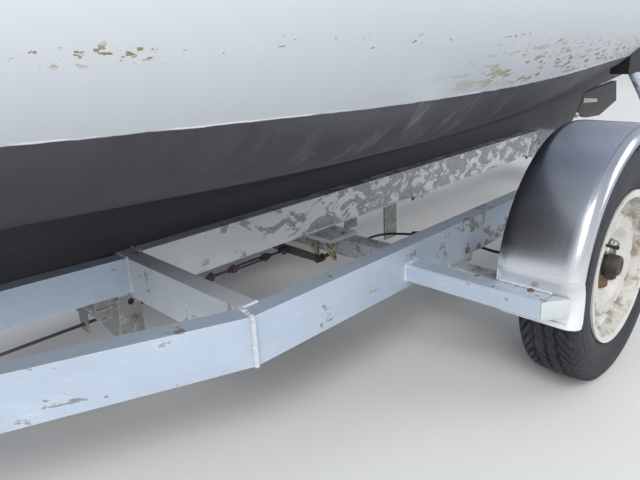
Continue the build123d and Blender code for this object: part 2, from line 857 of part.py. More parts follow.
with BuildPart() as rudder_heel:
    rod(heel_low, on_stock(heel_foot), heel_radius)
    with BuildSketch(Plane.XZ.offset(-heel_sheet / 2)):
        with BuildLine():
            Polyline(
                (at(keel_heel_ahead) - 40, keel_foot + 4),
                (heel_low.X, heel_low.Z),
                (on_stock(heel_foot).X, heel_foot),
                (heel_turn.X + 20, heel_turn.Z),
                (at(keel_heel_ahead) + 20, keel_foot + 40),
                close=True,
            )
        make_face()
    extrude(amount=heel_sheet)
    add(keel.part, mode=Mode.SUBTRACT)
    rod(on_stock(heel_foot), on_stock(heel_foot + 60), blade_thick, mode=Mode.SUBTRACT)
write(rudder_heel, "rudder_heel")

# Tiller on the head of the stock
tiller_pivot = on_stock(tiller_root)
with BuildPart() as tiller:
    rod(on_stock(tiller_root - tiller_knuckle), on_stock(tiller_root + tiller_knuckle), stock_radius + 10)
    tiller_tip = tiller_pivot + (tiller_length, 0, tiller_rise)
    rod(tiller_pivot, tiller_tip, tiller_radius, tip=tiller_radius - 4)
    with Locations(tiller_tip):
        Sphere(tiller_radius + 3)
    add(rudder.part, mode=Mode.SUBTRACT)
write(tiller, "tiller")


# Deck with its crown, open over cockpit, cabin and fore locker
def deck_section(row):
    edge = row.sheer_z + deck_edge
    crown = deck_crown * row.sheer_y / 1000
    with BuildSketch(Plane.YZ.offset(at(row.ahead))) as section:
        with BuildLine():
            half = row.sheer_y
            Polyline((-half, edge), (-half, row.sheer_z), (half, row.sheer_z), (half, edge))
            ThreePointArc((half, edge), (0, edge + crown), (-half, edge))
        make_face()
    return section.sketch


def coach_section(row, inset=0.0, base=coach_base):
    ahead = row.ahead
    if inset and row is coach_rows[0]:
        ahead += inset
    if inset and row is coach_rows[-1]:
        ahead -= inset
    half, edge, crown = row.base_y - inset, row.edge_y - inset, row.crown_z - inset
    with BuildSketch(Plane.YZ.offset(at(ahead))) as section:
        with BuildLine():
            Polyline((-edge, row.edge_z - inset), (-half, base), (half, base), (edge, row.edge_z - inset))
            ThreePointArc((edge, row.edge_z - inset), (0, crown), (-edge, row.edge_z - inset))
        make_face()
    return section.sketch


with BuildPart() as deck_form:
    loft([deck_section(row) for row in stations])

with BuildPart() as coach_form:
    loft([coach_section(row) for row in coach_rows], ruled=True)

with BuildPart() as cabin_space:
    loft([coach_section(row, coach_sheet, coach_base - 200) for row in coach_rows], ruled=True)

with BuildPart() as deck:
    add(deck_form.part)
    cut_cockpit()
    add(coach_form.part, mode=Mode.SUBTRACT)
    block(
        (at(forehatch_ahead + forehatch_rim), at(forehatch_front - forehatch_rim)),
        (-forehatch_half, forehatch_half),
        (forelocker_floor, hull_height),
        Mode.SUBTRACT,
    )
write(deck, "deck")


# Height inside the thickness of the deck, for pieces that start there
def deck_inside(ahead):
    return between(stations, ahead, "sheer_z") + deck_edge


# Coachroof shell with its windows, companionway, washboards and sliding hatch
coach_back = coach_rows[0].ahead
slide_front = coach_back + slide_length
door_front = coach_back + slide_travel


def window_bars(mode, trim=0.0):
    with BuildSketch(Plane.XZ.offset(-1000)) as outline:
        with Locations(*[(at(place), window_z) for place in window_places]):
            RectangleRounded(window_length - 2 * trim, window_height - 2 * trim, window_height / 2 - trim - 1)
    extrude(outline.sketch, amount=2000, mode=mode)


with BuildPart() as coachroof:
    add(coach_form.part)
    add(cabin_space.part, mode=Mode.SUBTRACT)
    add(hull_form.part, mode=Mode.SUBTRACT)
    window_bars(Mode.SUBTRACT)
    block((at(coach_back), at(door_front)), (-door_half, door_half), (door_sill, hull_height), Mode.SUBTRACT)
write(coachroof, "coachroof")

with BuildPart() as windows:
    add(coach_form.part)
    add(cabin_space.part, mode=Mode.SUBTRACT)
    window_bars(Mode.INTERSECT, glass_gap)
write(windows, "windows")

with BuildPart() as washboards:
    block(
        (at(coach_back), at(coach_back) + board_thick),
        (-door_half, door_half),
        (door_sill, slide_lift - running_gap),
    )
    add(coachroof.part, mode=Mode.SUBTRACT)
write(washboards, "washboards")

rail_inner = slide_half
rail_outer = slide_half + slide_rail
with BuildPart() as hatch_rails:
    for side in (-1, 1):
        inner, outer = sorted((side * rail_inner, side * rail_outer))
        block((at(coach_back), at(slide_front + slide_travel)), (inner, outer), (1500, slide_lift - seat_gap))
    add(coach_form.part, mode=Mode.SUBTRACT)
write(hatch_rails, "hatch_rails")

with BuildPart() as sliding_hatch:
    block((at(coach_back - 20), at(slide_front)), (-rail_outer, rail_outer), (slide_lift, slide_lift + slide_thick))
    block(
        (at(coach_back - 20), at(coach_back - 8)),
        (-door_half, door_half),
        (slide_lift - 40, slide_lift),
    )
    chamfer(sliding_hatch.edges().group_by(Axis.Z)[-1], 8)
write(sliding_hatch, "sliding_hatch")

# Hatch on the fore deck
with BuildPart() as forehatch_coaming:
    block(
        (at(forehatch_ahead), at(forehatch_front)),
        (-forehatch_size / 2, forehatch_size / 2),
        (deck_inside(forehatch_front), forehatch_top - seat_gap),
    )
    block(
        (at(forehatch_ahead + forehatch_rim), at(forehatch_front - forehatch_rim)),
        (-forehatch_half, forehatch_half),
        (1300, hull_height),
        Mode.SUBTRACT,
    )
    add(deck_form.part, mode=Mode.SUBTRACT)
write(forehatch_coaming, "forehatch_coaming")

with BuildPart() as forehatch_lid:
    block(
        (at(forehatch_ahead), at(forehatch_front + lid_over)),
        (-forehatch_size / 2 - lid_over, forehatch_size / 2 + lid_over),
        (forehatch_top, forehatch_top + slide_thick),
    )
    chamfer(forehatch_lid.edges().group_by(Axis.Z)[-1], 8)
write(forehatch_lid, "forehatch_lid")

# Cockpit coamings and locker lids
with BuildPart() as coamings:
    coaming_foot = deck_inside(coach_back)
    with BuildSketch(Plane.XY.offset(coaming_foot)):
        with BuildLine():
            start = (at(coach_back), well_front_half + 30)
            finish = (at(well_back), well_back_half + 30)
            board = Line(start, finish)
        trace(board, coaming_thick)
    extrude(amount=coaming_top - coaming_foot)
    mirror(about=Plane.XZ)
    add(deck_form.part, mode=Mode.SUBTRACT)
    add(coach_form.part, mode=Mode.SUBTRACT)
write(coamings, "coamings")

with BuildPart() as locker_lid:
    block(
        (at(locker_ahead[0] - lid_lap), at(locker_ahead[1] + lid_lap)),
        (locker_side[0] - lid_lap, locker_side[1] + lid_lap),
        (seat_height, seat_height + lid_thick),
    )
    chamfer(locker_lid.edges().group_by(Axis.Z)[-1], 4)
write_pair(locker_lid, "locker_lid")


# Rubbing strakes outside the sheer and toe rails on the deck edge
def edge_strip(low_y, high_y, low_z, high_z):
    sections = []
    for row in stations[:-1]:
        with BuildSketch(Plane.YZ.offset(at(row.ahead))) as section:
            with Locations((row.sheer_y + (low_y + high_y) / 2, row.sheer_z + (low_z + high_z) / 2)):
                Rectangle(high_y - low_y, high_z - low_z)
        sections.append(section.sketch)
    loft(sections)


with BuildPart() as rubbing_strakes:
    edge_strip(-20, strake_width, -strake_depth, 0)
    add(hull_form.part, mode=Mode.SUBTRACT)
    add(deck_form.part, mode=Mode.SUBTRACT)
    mirror(about=Plane.XZ)
write(rubbing_strakes, "rubbing_strakes")

with BuildPart() as toe_rails:
    edge_strip(-8 - toe_width, -8, 5, deck_edge + toe_rise)
    add(deck_form.part, mode=Mode.SUBTRACT)
    mirror(about=Plane.XZ)
write(toe_rails, "toe_rails")

# Mast in its step, boom and gaff with jaws, lift and stays
mast_x = at(mast_ahead)
with BuildPart() as mast_step:
    rod((mast_x, 0, deck_inside(mast_ahead)), (mast_x, 0, step_top), step_radius)
    add(deck_form.part, mode=Mode.SUBTRACT)
write(mast_step, "mast_step")

taper = (mast_radius - mast_tip_radius) / (mast_top - hounds_height + 2600)
taper_start = hounds_height - 2600


def mast_radius_at(height):
    return mast_radius - max(0.0, height - taper_start) * taper


saddle_top = boom_height - boom_radius - running_gap
with BuildPart() as mast:
    rod((mast_x, 0, step_top), (mast_x, 0, taper_start), mast_radius)
    rod((mast_x, 0, taper_start), (mast_x, 0, mast_top), mast_radius, tip=mast_tip_radius)
    rod((mast_x, 0, saddle_top - 22), (mast_x, 0, saddle_top), mast_radius + 28)
    rod((mast_x, 0, hounds_height - 30), (mast_x, 0, hounds_height + 30), mast_radius_at(hounds_height) + 5)
    rod((mast_x, 0, lift_height - 26), (mast_x, 0, lift_height - 6), mast_radius_at(lift_height) + 18)
write(mast, "mast")

jaw_inner = mast_radius + jaw_gap
jaw_outer = jaw_inner + jaw_wall


def spar_with_jaws(height, length, radius):
    rod((mast_x - jaw_inner - 10, 0, height), (mast_x - length, 0, height), radius, tip=radius - 6)
    with BuildSketch(Plane.XY.offset(height - jaw_thick / 2)) as jaws:
        with Locations((mast_x, 0)):
            Circle(jaw_outer)
            with Locations((mast_x + jaw_outer, 0)):
                Rectangle(2 * jaw_outer - 20, 4 * jaw_outer, mode=Mode.SUBTRACT)
            Circle(jaw_inner, mode=Mode.SUBTRACT)
    extrude(jaws.sketch, amount=jaw_thick)
    rod((mast_x, 0, height - 2 * radius), (mast_x, 0, height + 2 * radius), jaw_inner, mode=Mode.SUBTRACT)


with BuildPart() as boom:
    spar_with_jaws(boom_height, boom_length, boom_radius)
write(boom, "boom")

gaff_height = boom_height + boom_radius + chock + gaff_radius
with BuildPart() as gaff:
    spar_with_jaws(gaff_height, gaff_length, gaff_radius)
    for share in (0.3, 0.85):
        chock_x = mast_x - share * gaff_length
        block((chock_x - 20, chock_x + 20), (-14, 14), (boom_height, gaff_height))
    add(boom.part, mode=Mode.SUBTRACT)
write(gaff, "gaff")

lift_ring = mast_radius_at(lift_height) + jaw_gap
boom_tip = (mast_x - boom_length + 60, 0, boom_height + boom_radius - 8)
with BuildPart() as topping_lift:
    rod((mast_x, 0, lift_height), (mast_x, 0, lift_height + 12), lift_ring + 8)
    rod(boom_tip, (mast_x - lift_ring - 4, 0, lift_height + 6), wire_radius)
    rod((mast_x, 0, lift_height - 50), (mast_x, 0, lift_height + 50), lift_ring, mode=Mode.SUBTRACT)
    add(boom.part, mode=Mode.SUBTRACT)
write(topping_lift, "topping_lift")

# Fittings that the stays hold to: at the stem head and on either side deck
stem = stations[-1]
stem_x = at(stem.ahead) - 24
stem_top = stem.sheer_z + deck_edge
shroud_y = between(stations, shroud_ahead, "sheer_y") - plate_inset
shroud_z = deck_inside(shroud_ahead) + 76
with BuildPart() as stay_fittings:
    block((stem_x - 60, stem_x + 20), (-16, 16), (stem_top - 10, stem_top + 26))
    for side in (-1, 1):
        with Locations((at(shroud_ahead), side * shroud_y, shroud_z - 45)):
            Box(32, 6, 90)
    add(hull_form.part, mode=Mode.SUBTRACT)
    add(deck_form.part, mode=Mode.SUBTRACT)
write(stay_fittings, "stay_fittings")

hounds_radius = mast_radius_at(hounds_height) + 5
stay_foot = Vector(stem_x, 0, stem_top + 20)
stay_head = Vector(mast_x + hounds_radius - 2, 0, hounds_height)
with BuildPart() as forestay:
    rod(stay_foot, stay_head, wire_radius)
    rod(stay_foot, stay_foot + (stay_head - stay_foot) * screw_share, screw_radius)
    add(stay_fittings.part, mode=Mode.SUBTRACT)
    add(mast.part, mode=Mode.SUBTRACT)
write(forestay, "forestay")

shroud_foot = Vector(at(shroud_ahead), shroud_y, shroud_z - 6)
shroud_head = Vector(mast_x, hounds_radius - 2, hounds_height)
with BuildPart() as shrouds:
    rod(shroud_foot, shroud_head, wire_radius)
    rod(shroud_foot, shroud_foot + (shroud_head - shroud_foot) * screw_share, screw_radius)
    add(stay_fittings.part, mode=Mode.SUBTRACT)
    add(mast.part, mode=Mode.SUBTRACT)
    mirror(about=Plane.XZ)
write(shrouds, "shrouds")

# Winch post with its stop for the stem, the winch and its strap, and the eye in the stem
post_x = at(post_ahead)
stop_x = at(stop_ahead)
with BuildPart() as winch_post:
    block((post_x - post_size / 2, post_x + post_size / 2), (-post_size / 2, post_size / 2), (rail_top, post_top))
    arm_low, arm_high = stop_height - stop_arm_half, stop_height + stop_arm_half
    block((stop_x, post_x - post_size / 2), (-stop_arm_half, stop_arm_half), (arm_low, arm_high))
    with BuildSketch(Plane.XZ.offset(-post_web / 2)):
        with BuildLine():
            Polyline(
                (post_x + post_size / 2, rail_top),
                (post_x + web_reach, rail_top),
                (post_x + post_size / 2, rail_top + web_reach),
                close=True,
            )
        make_face()
    extrude(amount=post_web)
    add(hull_form.part, mode=Mode.SUBTRACT)
write(winch_post, "winch_post")

with BuildPart() as bow_stop:
    wide, high = stop_half
    block((stop_x - stop_deep, stop_x), (-wide, wide), (stop_height - high, stop_height + high))
    add(hull_form.part, mode=Mode.SUBTRACT)
write(bow_stop, "bow_stop")

eye_x = at(eye_ahead)
with BuildPart() as bow_eye:
    rod((eye_x, -eye_thick / 2, eye_height), (eye_x, eye_thick / 2, eye_height), eye_radius)
    block((eye_x - eye_tang, eye_x), (-eye_thick / 2, eye_thick / 2), (eye_height - eye_bore, eye_height + eye_bore))
    rod((eye_x, -eye_thick, eye_height), (eye_x, eye_thick, eye_height), eye_bore, mode=Mode.SUBTRACT)
    add(hull_form.part, mode=Mode.SUBTRACT)
write(bow_eye, "bow_eye")

post_face = post_x + post_size / 2
drum_x = post_face + winch_reach
drum_z = post_top - winch_drop
with BuildPart() as winch:
    for side in (-1, 1):
        with Locations((drum_x - 20, side * (winch_half - 2), drum_z)):
            Box(70, 5, winch_high)
    block((post_face, post_face + 8), (-winch_half, winch_half), (drum_z - winch_high / 2, drum_z + winch_high / 2))
    rod((drum_x, -winch_half, drum_z), (drum_x, winch_half, drum_z), winch_drum)
    rod((drum_x, winch_half, drum_z), (drum_x, winch_crank_side + 2, drum_z), 9)
    crank_low = drum_z - winch_crank
    block((drum_x - 12, drum_x + 12), (winch_crank_side, winch_crank_side + 8), (crank_low, drum_z + 12))
    rod((drum_x, winch_crank_side + 8, crank_low + 12), (drum_x, winch_crank_side + 82, crank_low + 12), 14)
    strap_end = Vector(eye_x + eye_radius + 3, 0, eye_height - 4)
    with BuildSketch(Plane.XZ.offset(-strap_width / 2)):
        with BuildLine() as strap_line:
            Line((drum_x, drum_z + winch_drum + 1), (strap_end.X, strap_end.Z))
        trace(strap_line.line, strap_sheet)
    extrude(amount=strap_width)
    add(bow_eye.part, mode=Mode.SUBTRACT)
write(winch, "winch")

# Posts and pads that steady the hull
front_post_y = outer_centre - (front_post_ahead - kink_ahead) * tan(radians(kink_angle))
posts = (
    (at(front_post_ahead), front_post_y, rail_top, front_pad),
    (rear_x, outer_centre - 60, inner_bottom, rear_pad),
)
with BuildPart() as hull_posts:
    for post_place, foot_y, foot_z, (pad_y, pad_z) in posts:
        block(
            (post_place - foot_plate / 2, post_place + foot_plate / 2),
            (foot_y - rail_width / 2 + 0.5, foot_y + rail_width / 2 - 0.5),
            (foot_z, foot_z + foot_sheet),
        )
        rod((post_place, foot_y, foot_z + 12), (post_place, pad_y, pad_z), post_radius)
    mirror(about=Plane.XZ)
    add(rear_cross_tube.part, mode=Mode.SUBTRACT)
    add(outer_rails.part, mode=Mode.SUBTRACT)
    add(hull_form.part, mode=Mode.SUBTRACT)
write(hull_posts, "hull_posts")

with BuildPart() as hull_pads:
    for post_place, foot_y, foot_z, (pad_y, pad_z) in posts:
        block(
            (post_place - pad_length / 2, post_place + pad_length / 2),
            (pad_y - pad_width / 2, pad_y + pad_width / 2),
            (pad_z - pad_sink, pad_z + pad_reach),
        )
    mirror(about=Plane.XZ)
    add(hull_form.part, mode=Mode.SUBTRACT)
    add(hull_posts.part, mode=Mode.SUBTRACT)
write(hull_pads, "hull_pads")

# Board with the rear lights, hung under the rear ends of the outer rails
with BuildPart() as light_board:
    board_x = at(outer_end) - 20
    block((board_x - board_sheet, board_x), (-board_half, board_half), (board_low, board_high))
    for side in (-1, 1):
        with Locations((board_x + 30, side * outer_centre, (board_low + outer_bottom) / 2 + 20)):
            Box(60, 8, outer_bottom - board_low - 40)
        with Locations((board_x + 30, side * outer_centre, outer_bottom - 3)):
            Box(60, 36, 6)
write(light_board, "light_board")

# Brake gear: rod and turnbuckle to the cross bar, its bracket and the cables to the backing plates
bar_x = at(cross_bar_ahead)
with BuildPart() as brake_linkage:
    knuckle = (at(hanger_ahead + 45), 0, linkage_height)
    rod((at(screw_front), 0, linkage_height), knuckle, linkage_radius)
    with Locations(knuckle):
        Sphere(2 * linkage_radius)
    rod(knuckle, (at(drawbar_end - 40), 0, linkage_front), linkage_radius)
    block((at(drawbar_end - 60), at(drawbar_end - 20)), (-8, 8), (linkage_front - 10, outer_bottom))
    rod((at(screw_front), 0, linkage_height), (at(screw_front + 26), 0, linkage_height), knob_radius)
    rod((at(screw_back), 0, linkage_height), (at(screw_front), 0, linkage_height), screw_body)
    rod((bar_x, 0, linkage_height), (at(screw_back), 0, linkage_height), linkage_radius - 1)
    block((bar_x - 4, bar_x + 4), (-cable_side - 16, cable_side + 16), (linkage_height - bar_half_height, linkage_height + bar_half_height))
write(brake_linkage, "brake_linkage")

front_bottom = rail_top - front_depth
with BuildPart() as brake_bracket:
    for place, half, foot in ((cradle_ahead, cradle_half, inner_bottom), (hanger_ahead, hanger_half, outer_bottom)):
        block((at(place) - 20, at(place) + 20), (-half, half), (foot - plate_sheet, foot))
        block((at(place) - 3, at(place) + 3), (-22, 22), (linkage_height - 20, foot - plate_sheet))
        hole = linkage_radius + shaft_gap
        rod((at(place) - 10, 0, linkage_height), (at(place) + 10, 0, linkage_height), hole, mode=Mode.SUBTRACT)
    for side in (-1, 1):
        inner, outer = sorted((side * (inner_face - rail_width + 4), side * (inner_face - rail_width + 12)))
        block((at(leg_ahead) - leg_half, at(leg_ahead) + leg_half), (inner, outer), (leg_foot, inner_bottom))
        with Locations((at(cradle_ahead), side * 118, (inner_bottom + front_bottom) / 2)):
            Box(40, 40, front_bottom - inner_bottom)
write(brake_bracket, "brake_bracket")

cable_route = (
    (bar_x - 4, cable_side, linkage_height),
    (at(-150), cable_side, linkage_height),
    (at(-150), 420, 205),
    (at(-60), 640, 225),
    (at(-60), arm_outer, 235),
)
with BuildPart() as brake_cables:
    with BuildLine() as route:
        FilletPolyline(*cable_route, radius=cable_bend)
    with BuildSketch(Plane(origin=cable_route[0], z_dir=(-1, 0, 0))) as cable_end:
        Circle(cable_radius)
    sweep(cable_end.sketch, path=route.line)
    add(axle_arm.part, mode=Mode.SUBTRACT)
    mirror(about=Plane.XZ)
write(brake_cables, "brake_cables")
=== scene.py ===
import math
import random

import bmesh
import bpy
from mathutils import Matrix, Vector
from mathutils.bvhtree import BVHTree


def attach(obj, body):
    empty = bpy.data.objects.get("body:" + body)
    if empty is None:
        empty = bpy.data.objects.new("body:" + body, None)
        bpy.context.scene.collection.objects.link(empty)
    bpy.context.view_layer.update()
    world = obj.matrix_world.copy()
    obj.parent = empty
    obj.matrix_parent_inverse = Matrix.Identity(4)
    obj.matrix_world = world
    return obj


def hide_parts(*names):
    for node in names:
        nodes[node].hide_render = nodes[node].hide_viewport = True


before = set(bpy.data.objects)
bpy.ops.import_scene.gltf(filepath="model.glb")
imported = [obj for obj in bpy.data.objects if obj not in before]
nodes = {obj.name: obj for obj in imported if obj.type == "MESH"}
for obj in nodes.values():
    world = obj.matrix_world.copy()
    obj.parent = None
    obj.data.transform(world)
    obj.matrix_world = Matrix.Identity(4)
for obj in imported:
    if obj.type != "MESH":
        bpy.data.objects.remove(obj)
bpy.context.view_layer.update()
standing = "boat_and_trailer"  # the body that everything fixed rides on
axleX = -0.0125                # where the road axle stands along the boat
sides = (1, -1)                # port, starboard
print("frame loaded:", len(nodes), "nodes")


def at(ahead):
    return axleX + ahead


def sideName(side):
    return "Port" if side > 0 else "Starboard"


# Node helpers: all of them work on the tree of the finish being made
work = {}


def put(kind, inputs=None, **settings):
    made = work["tree"].nodes.new(kind)
    for name, value in settings.items():
        setattr(made, name, value)
    for key, value in (inputs or {}).items():
        if isinstance(value, bpy.types.NodeSocket):
            work["tree"].links.new(value, made.inputs[key])
        else:
            made.inputs[key].default_value = value
    return made


def calc(operation, first, second=0.0, clamp=False):
    return put("ShaderNodeMath", {0: first, 1: second}, operation=operation,
               use_clamp=clamp).outputs[0]


def plus(first, second):
    return calc("ADD", first, second)


def minus(first, second):
    return calc("SUBTRACT", first, second)


def times(first, second):
    return calc("MULTIPLY", first, second)


def both(first, second):
    return calc("MULTIPLY", first, second, True)


def either(first, second):
    return calc("MAXIMUM", first, second)


def fade(value, low, high):
    return put("ShaderNodeMapRange", {0: value, 1: low, 2: high}, clamp=True).outputs[0]


def band(value, start, full, drop, end):
    return both(fade(value, start, full), fade(value, end, drop))


def place(stretch=(1, 1, 1)):
    spot = put("ShaderNodeTexCoord").outputs["Object"]
    return put("ShaderNodeMapping", {"Vector": spot, "Scale": stretch}).outputs[0]


def noise(spot, scale, detail, rough=0.55, warp=0.0):
    if isinstance(spot, tuple):
        spot = place(spot)
    return put("ShaderNodeTexNoise", {"Vector": spot, "Scale": scale, "Detail": detail,
                                      "Roughness": rough, "Distortion": warp}).outputs[0]


def solid(color):
    return (*color, 1.0) if isinstance(color, tuple) else color


def darker(color, share):
    return tuple(c * share for c in color)


def blendColor(amount, first, second):
    return put("ShaderNodeMix", {0: amount, 6: solid(first), 7: solid(second)},
               data_type="RGBA").outputs[2]


def tint(color, over, amount, share=None):
    return blendColor(amount if share is None else times(amount, share), color, over)


def blendValue(amount, first, second):
    return put("ShaderNodeMix", {0: amount, 2: first, 3: second}, data_type="FLOAT").outputs[0]


def axes():
    return put("ShaderNodeSeparateXYZ",
               {0: put("ShaderNodeTexCoord").outputs["Object"]}).outputs[:3]


def startFinish(name, **values):
    material = bpy.data.materials.new(name)
    material.use_nodes = True
    shader = material.node_tree.nodes["Principled BSDF"]
    for key, value in values.items():
        shader.inputs[key.replace("_", " ")].default_value = value
    work.update(material=material, tree=material.node_tree, shader=shader)


def finishWith(color, rough, height, depth, strength, metal=None):
    bump = put("ShaderNodeBump", {"Height": height, "Strength": strength, "Distance": depth})
    for socket, value in (("Base Color", color), ("Roughness", rough), ("Metallic", metal),
                          ("Normal", bump.outputs[0])):
        if value is not None:
            work["tree"].links.new(value, work["shader"].inputs[socket])
    return work["material"]


# Hull: grey-blue topsides over worn dark bottom paint, parted along a sloping line
# the bow and low tones paint light and shade onto the topsides
hullLook = dict(lineHeight=0.71, lineSlope=0.015, topsides=(0.62, 0.67, 0.715),
                cloud=(0.65, 0.69, 0.73), bow=(0.78, 0.82, 0.87), low=(0.4, 0.43, 0.465),
                primer=(0.78, 0.79, 0.79), oldPaint=(0.25, 0.225, 0.12),
                bottom=(0.036, 0.035, 0.042), bottomPale=(0.068, 0.069, 0.08),
                # the hollow and keel tones paint shadow and light onto the bottom
                hollow=(0.057, 0.055, 0.063), keel=(0.1, 0.096, 0.11), chalk=(0.17, 0.172, 0.19),
                speck=(0.2, 0.195, 0.2))


def makeHullPaint(name, bottomOnly=False):
    startFinish(name)
    look = hullLook
    x, y, z = axes()
    spot = place()
    line = plus(times(minus(x, axleX), look["lineSlope"]), look["lineHeight"])
    above = plus(minus(z, line), times(minus(noise(spot, 24.0, 3), 0.5), 0.004))
    topside = fade(above, -0.0005, 0.0006)

    # topsides: uneven gloss, painted light making them paler toward the bow and high up, painted
    # shade darkening them just above the line, small chips ahead and streaked ones aft
    cloudy = noise(spot, 1.7, 3)
    top = blendColor(fade(cloudy, 0.3, 0.75), look["topsides"], look["cloud"])
    # painted light: paler toward the bow and high on the topsides; painted shade: darker just above
    # the line
    top = tint(top, look["bow"], fade(x, 0.7, 1.25))
    top = tint(top, look["bow"], fade(above, 0.12, 0.36), 0.7)
    top = tint(top, look["low"], fade(above, 0.18, 0.01), 0.8)
    along = place((1.0, 1.0, 3.2))
    aft = fade(x, 0.62, 0.25)
    scuffs = fade(noise(along, 26.0, 8, 0.62), 0.665, 0.69)
    scuffBand = both(fade(above, 0.3, 0.05), fade(noise(along, 3.0, 2), 0.54, 0.66))
    scuffed = both(both(scuffs, scuffBand), blendValue(aft, 0.45, 1.0))
    top = tint(top, look["primer"], scuffed, 0.6)
    speckBand = band(above, 0.076, 0.084, 0.096, 0.106)
    speckNoise = noise((0.7, 0.7, 1.6), 72.0, 6, 0.64, 0.2)
    speckLimit = blendValue(fade(noise(along, 4.5, 3), 0.42, 0.62), 0.68, 0.565)
    streakBand = both(band(above, 0.005, 0.013, 0.04, 0.105), aft)
    streakNoise = noise((0.42, 0.42, 3.4), 27.0, 8, 0.64, 0.25)
    chipping = []
    for soft in (0.0, 0.022):
        small = both(fade(minus(speckNoise, speckLimit), -soft, 0.012 - soft), speckBand)
        large = both(fade(streakNoise, 0.55 - soft, 0.565 - soft), streakBand)
        chipping.append(either(small, large))
    chips, rim = chipping
    top = tint(top, look["primer"], rim, 0.5)
    top = tint(top, look["oldPaint"], chips)
    whiteLine = both(fade(above, 0.003, 0.0016), fade(noise(along, 9.0, 3), 0.42, 0.52))
    top = tint(top, look["primer"], whiteLine, 0.8)
    hairs = fade(noise((0.5, 0.5, 22.0), 6.0, 6, 0.7), 0.71, 0.74)
    top = tint(top, look["primer"], hairs, 0.22)

    # bottom paint: brushed across the planking, chalky high up aft, a painted shadow in the hollow
    # above the keel, and painted light making the keel's side paler again
    streaks = noise((5.0, 1.0, 0.9), 7.0, 8, 0.68)
    patches = noise((1.0, 1.0, 2.0), 3.4, 6, 0.6)
    low = blendColor(fade(streaks, 0.42, 0.74), look["bottom"], look["bottomPale"])
    low = tint(low, look["bottomPale"], both(fade(above, -0.05, -0.01), fade(patches, 0.42, 0.6)))
    chalky = both(both(fade(streaks, 0.54, 0.66), fade(above, -0.2, -0.03)),
                  both(fade(x, 0.98, 0.72), fade(patches, 0.44, 0.56)))
    low = tint(low, look["chalk"], chalky, 0.75)
    low = tint(low, look["bottom"], fade(x, 0.8, 1.05), 0.6)
    # painted shadow in the hollow along the keel, then painted light on the keel's side below it
    low = tint(low, look["hollow"], fade(above, -0.16, -0.32))
    low = tint(low, look["keel"], fade(above, -0.33, -0.42))
    low = tint(low, look["speck"], fade(noise(spot, 85.0, 3, 0.6), 0.7, 0.74), 0.35)
    lowHeight = plus(streaks, times(noise(spot, 60.0, 4), 0.6))
    if bottomOnly:
        return finishWith(low, blendValue(streaks, 0.62, 0.82), lowHeight, 0.0009, 0.45)
    gloss = blendValue(topside, blendValue(streaks, 0.58, 0.8),
                       blendValue(either(chips, scuffed), 0.34, 0.75))
    height = blendValue(topside, minus(lowHeight, 0.5),
                        minus(times(cloudy, 0.4), times(chips, 0.5)))
    return finishWith(blendColor(topside, low, top), gloss, height, 0.0009, 0.45)


# Trailer paint: a pale blue-grey coat, flaked to grey zinc, with its edges painted paler: partly
# edge wear, partly a painted highlight
trailerLook = dict(bare=(0.255, 0.255, 0.25), spangle=(0.33, 0.335, 0.34), aged=(0.22, 0.2, 0.175),
                   pale=(0.7, 0.74, 0.79), rust=(0.145, 0.062, 0.026), dirt=(0.19, 0.18, 0.165))


def makeTrailerPaint(name, coat, flaking, rusty, flakedAft=0.0):
    startFinish(name)
    look = trailerLook
    x, y, z = axes()
    spot = place()
    flake = noise((1.0, 1.0, 1.6), 15.0, 11, 0.68, 0.5)
    above = minus(flake, minus(0.655 - 0.12 * flaking, times(fade(x, 0.6, -0.1), 0.14 * flakedAft)))
    flaked = fade(above, -0.006, 0.01)
    fine = noise(spot, 60.0, 6, 0.62)
    color = blendColor(fade(noise(spot, 5.0, 5), 0.35, 0.7), coat, darker(coat, 0.9))
    color = tint(color, look["pale"], fade(noise((1.0, 1.0, 7.0), 11.0, 8, 0.66), 0.56, 0.72), 0.4)
    cells = put("ShaderNodeTexVoronoi", {"Vector": spot, "Scale": 120.0}).outputs["Color"]
    zinc = blendColor(put("ShaderNodeSeparateColor", {0: cells}).outputs[0], look["bare"],
                      look["spangle"])
    zinc = tint(zinc, look["aged"], fade(fine, 0.5, 0.62))
    color = tint(color, zinc, flaked, 0.8)
    color = tint(color, look["pale"], both(fade(above, -0.03, -0.008), minus(1.0, flaked)), 0.45)
    grime = both(fade(noise(spot, 7.5, 8, 0.68), 0.52, 0.76), fade(z, 0.335, 0.25))
    color = tint(color, look["dirt"], grime, 0.35)
    rustLimit = blendValue(fade(z, 0.275, 0.25), 0.752 - 0.05 * rusty, 0.665 - 0.06 * rusty)
    rust = fade(minus(noise(spot, 85.0, 7, 0.66), rustLimit), 0.0, 0.02)
    color = tint(color, look["rust"], rust)
    # edges painted pale: a painted highlight along the rounded edges, broken up by noise like wear
    soft = put("ShaderNodeBevel", {"Radius": 0.0035}, samples=4).outputs[0]
    flat = put("ShaderNodeNewGeometry").outputs["Normal"]
    turn = put("ShaderNodeVectorMath", {0: soft, 1: flat}, operation="DOT_PRODUCT").outputs["Value"]
    color = tint(color, look["pale"], both(fade(turn, 0.985, 0.9), fade(fine, 0.34, 0.5)), 0.8)
    rough = blendValue(either(rust, grime), blendValue(flaked, 0.4, 0.55), 0.85)
    metal = blendValue(rust, blendValue(flaked, 0.15, 0.45), 0.0)
    height = plus(minus(times(fine, 0.3), times(flaked, 0.35)), times(rust, 0.6))
    return finishWith(color, rough, height, 0.0006, 0.5, metal)


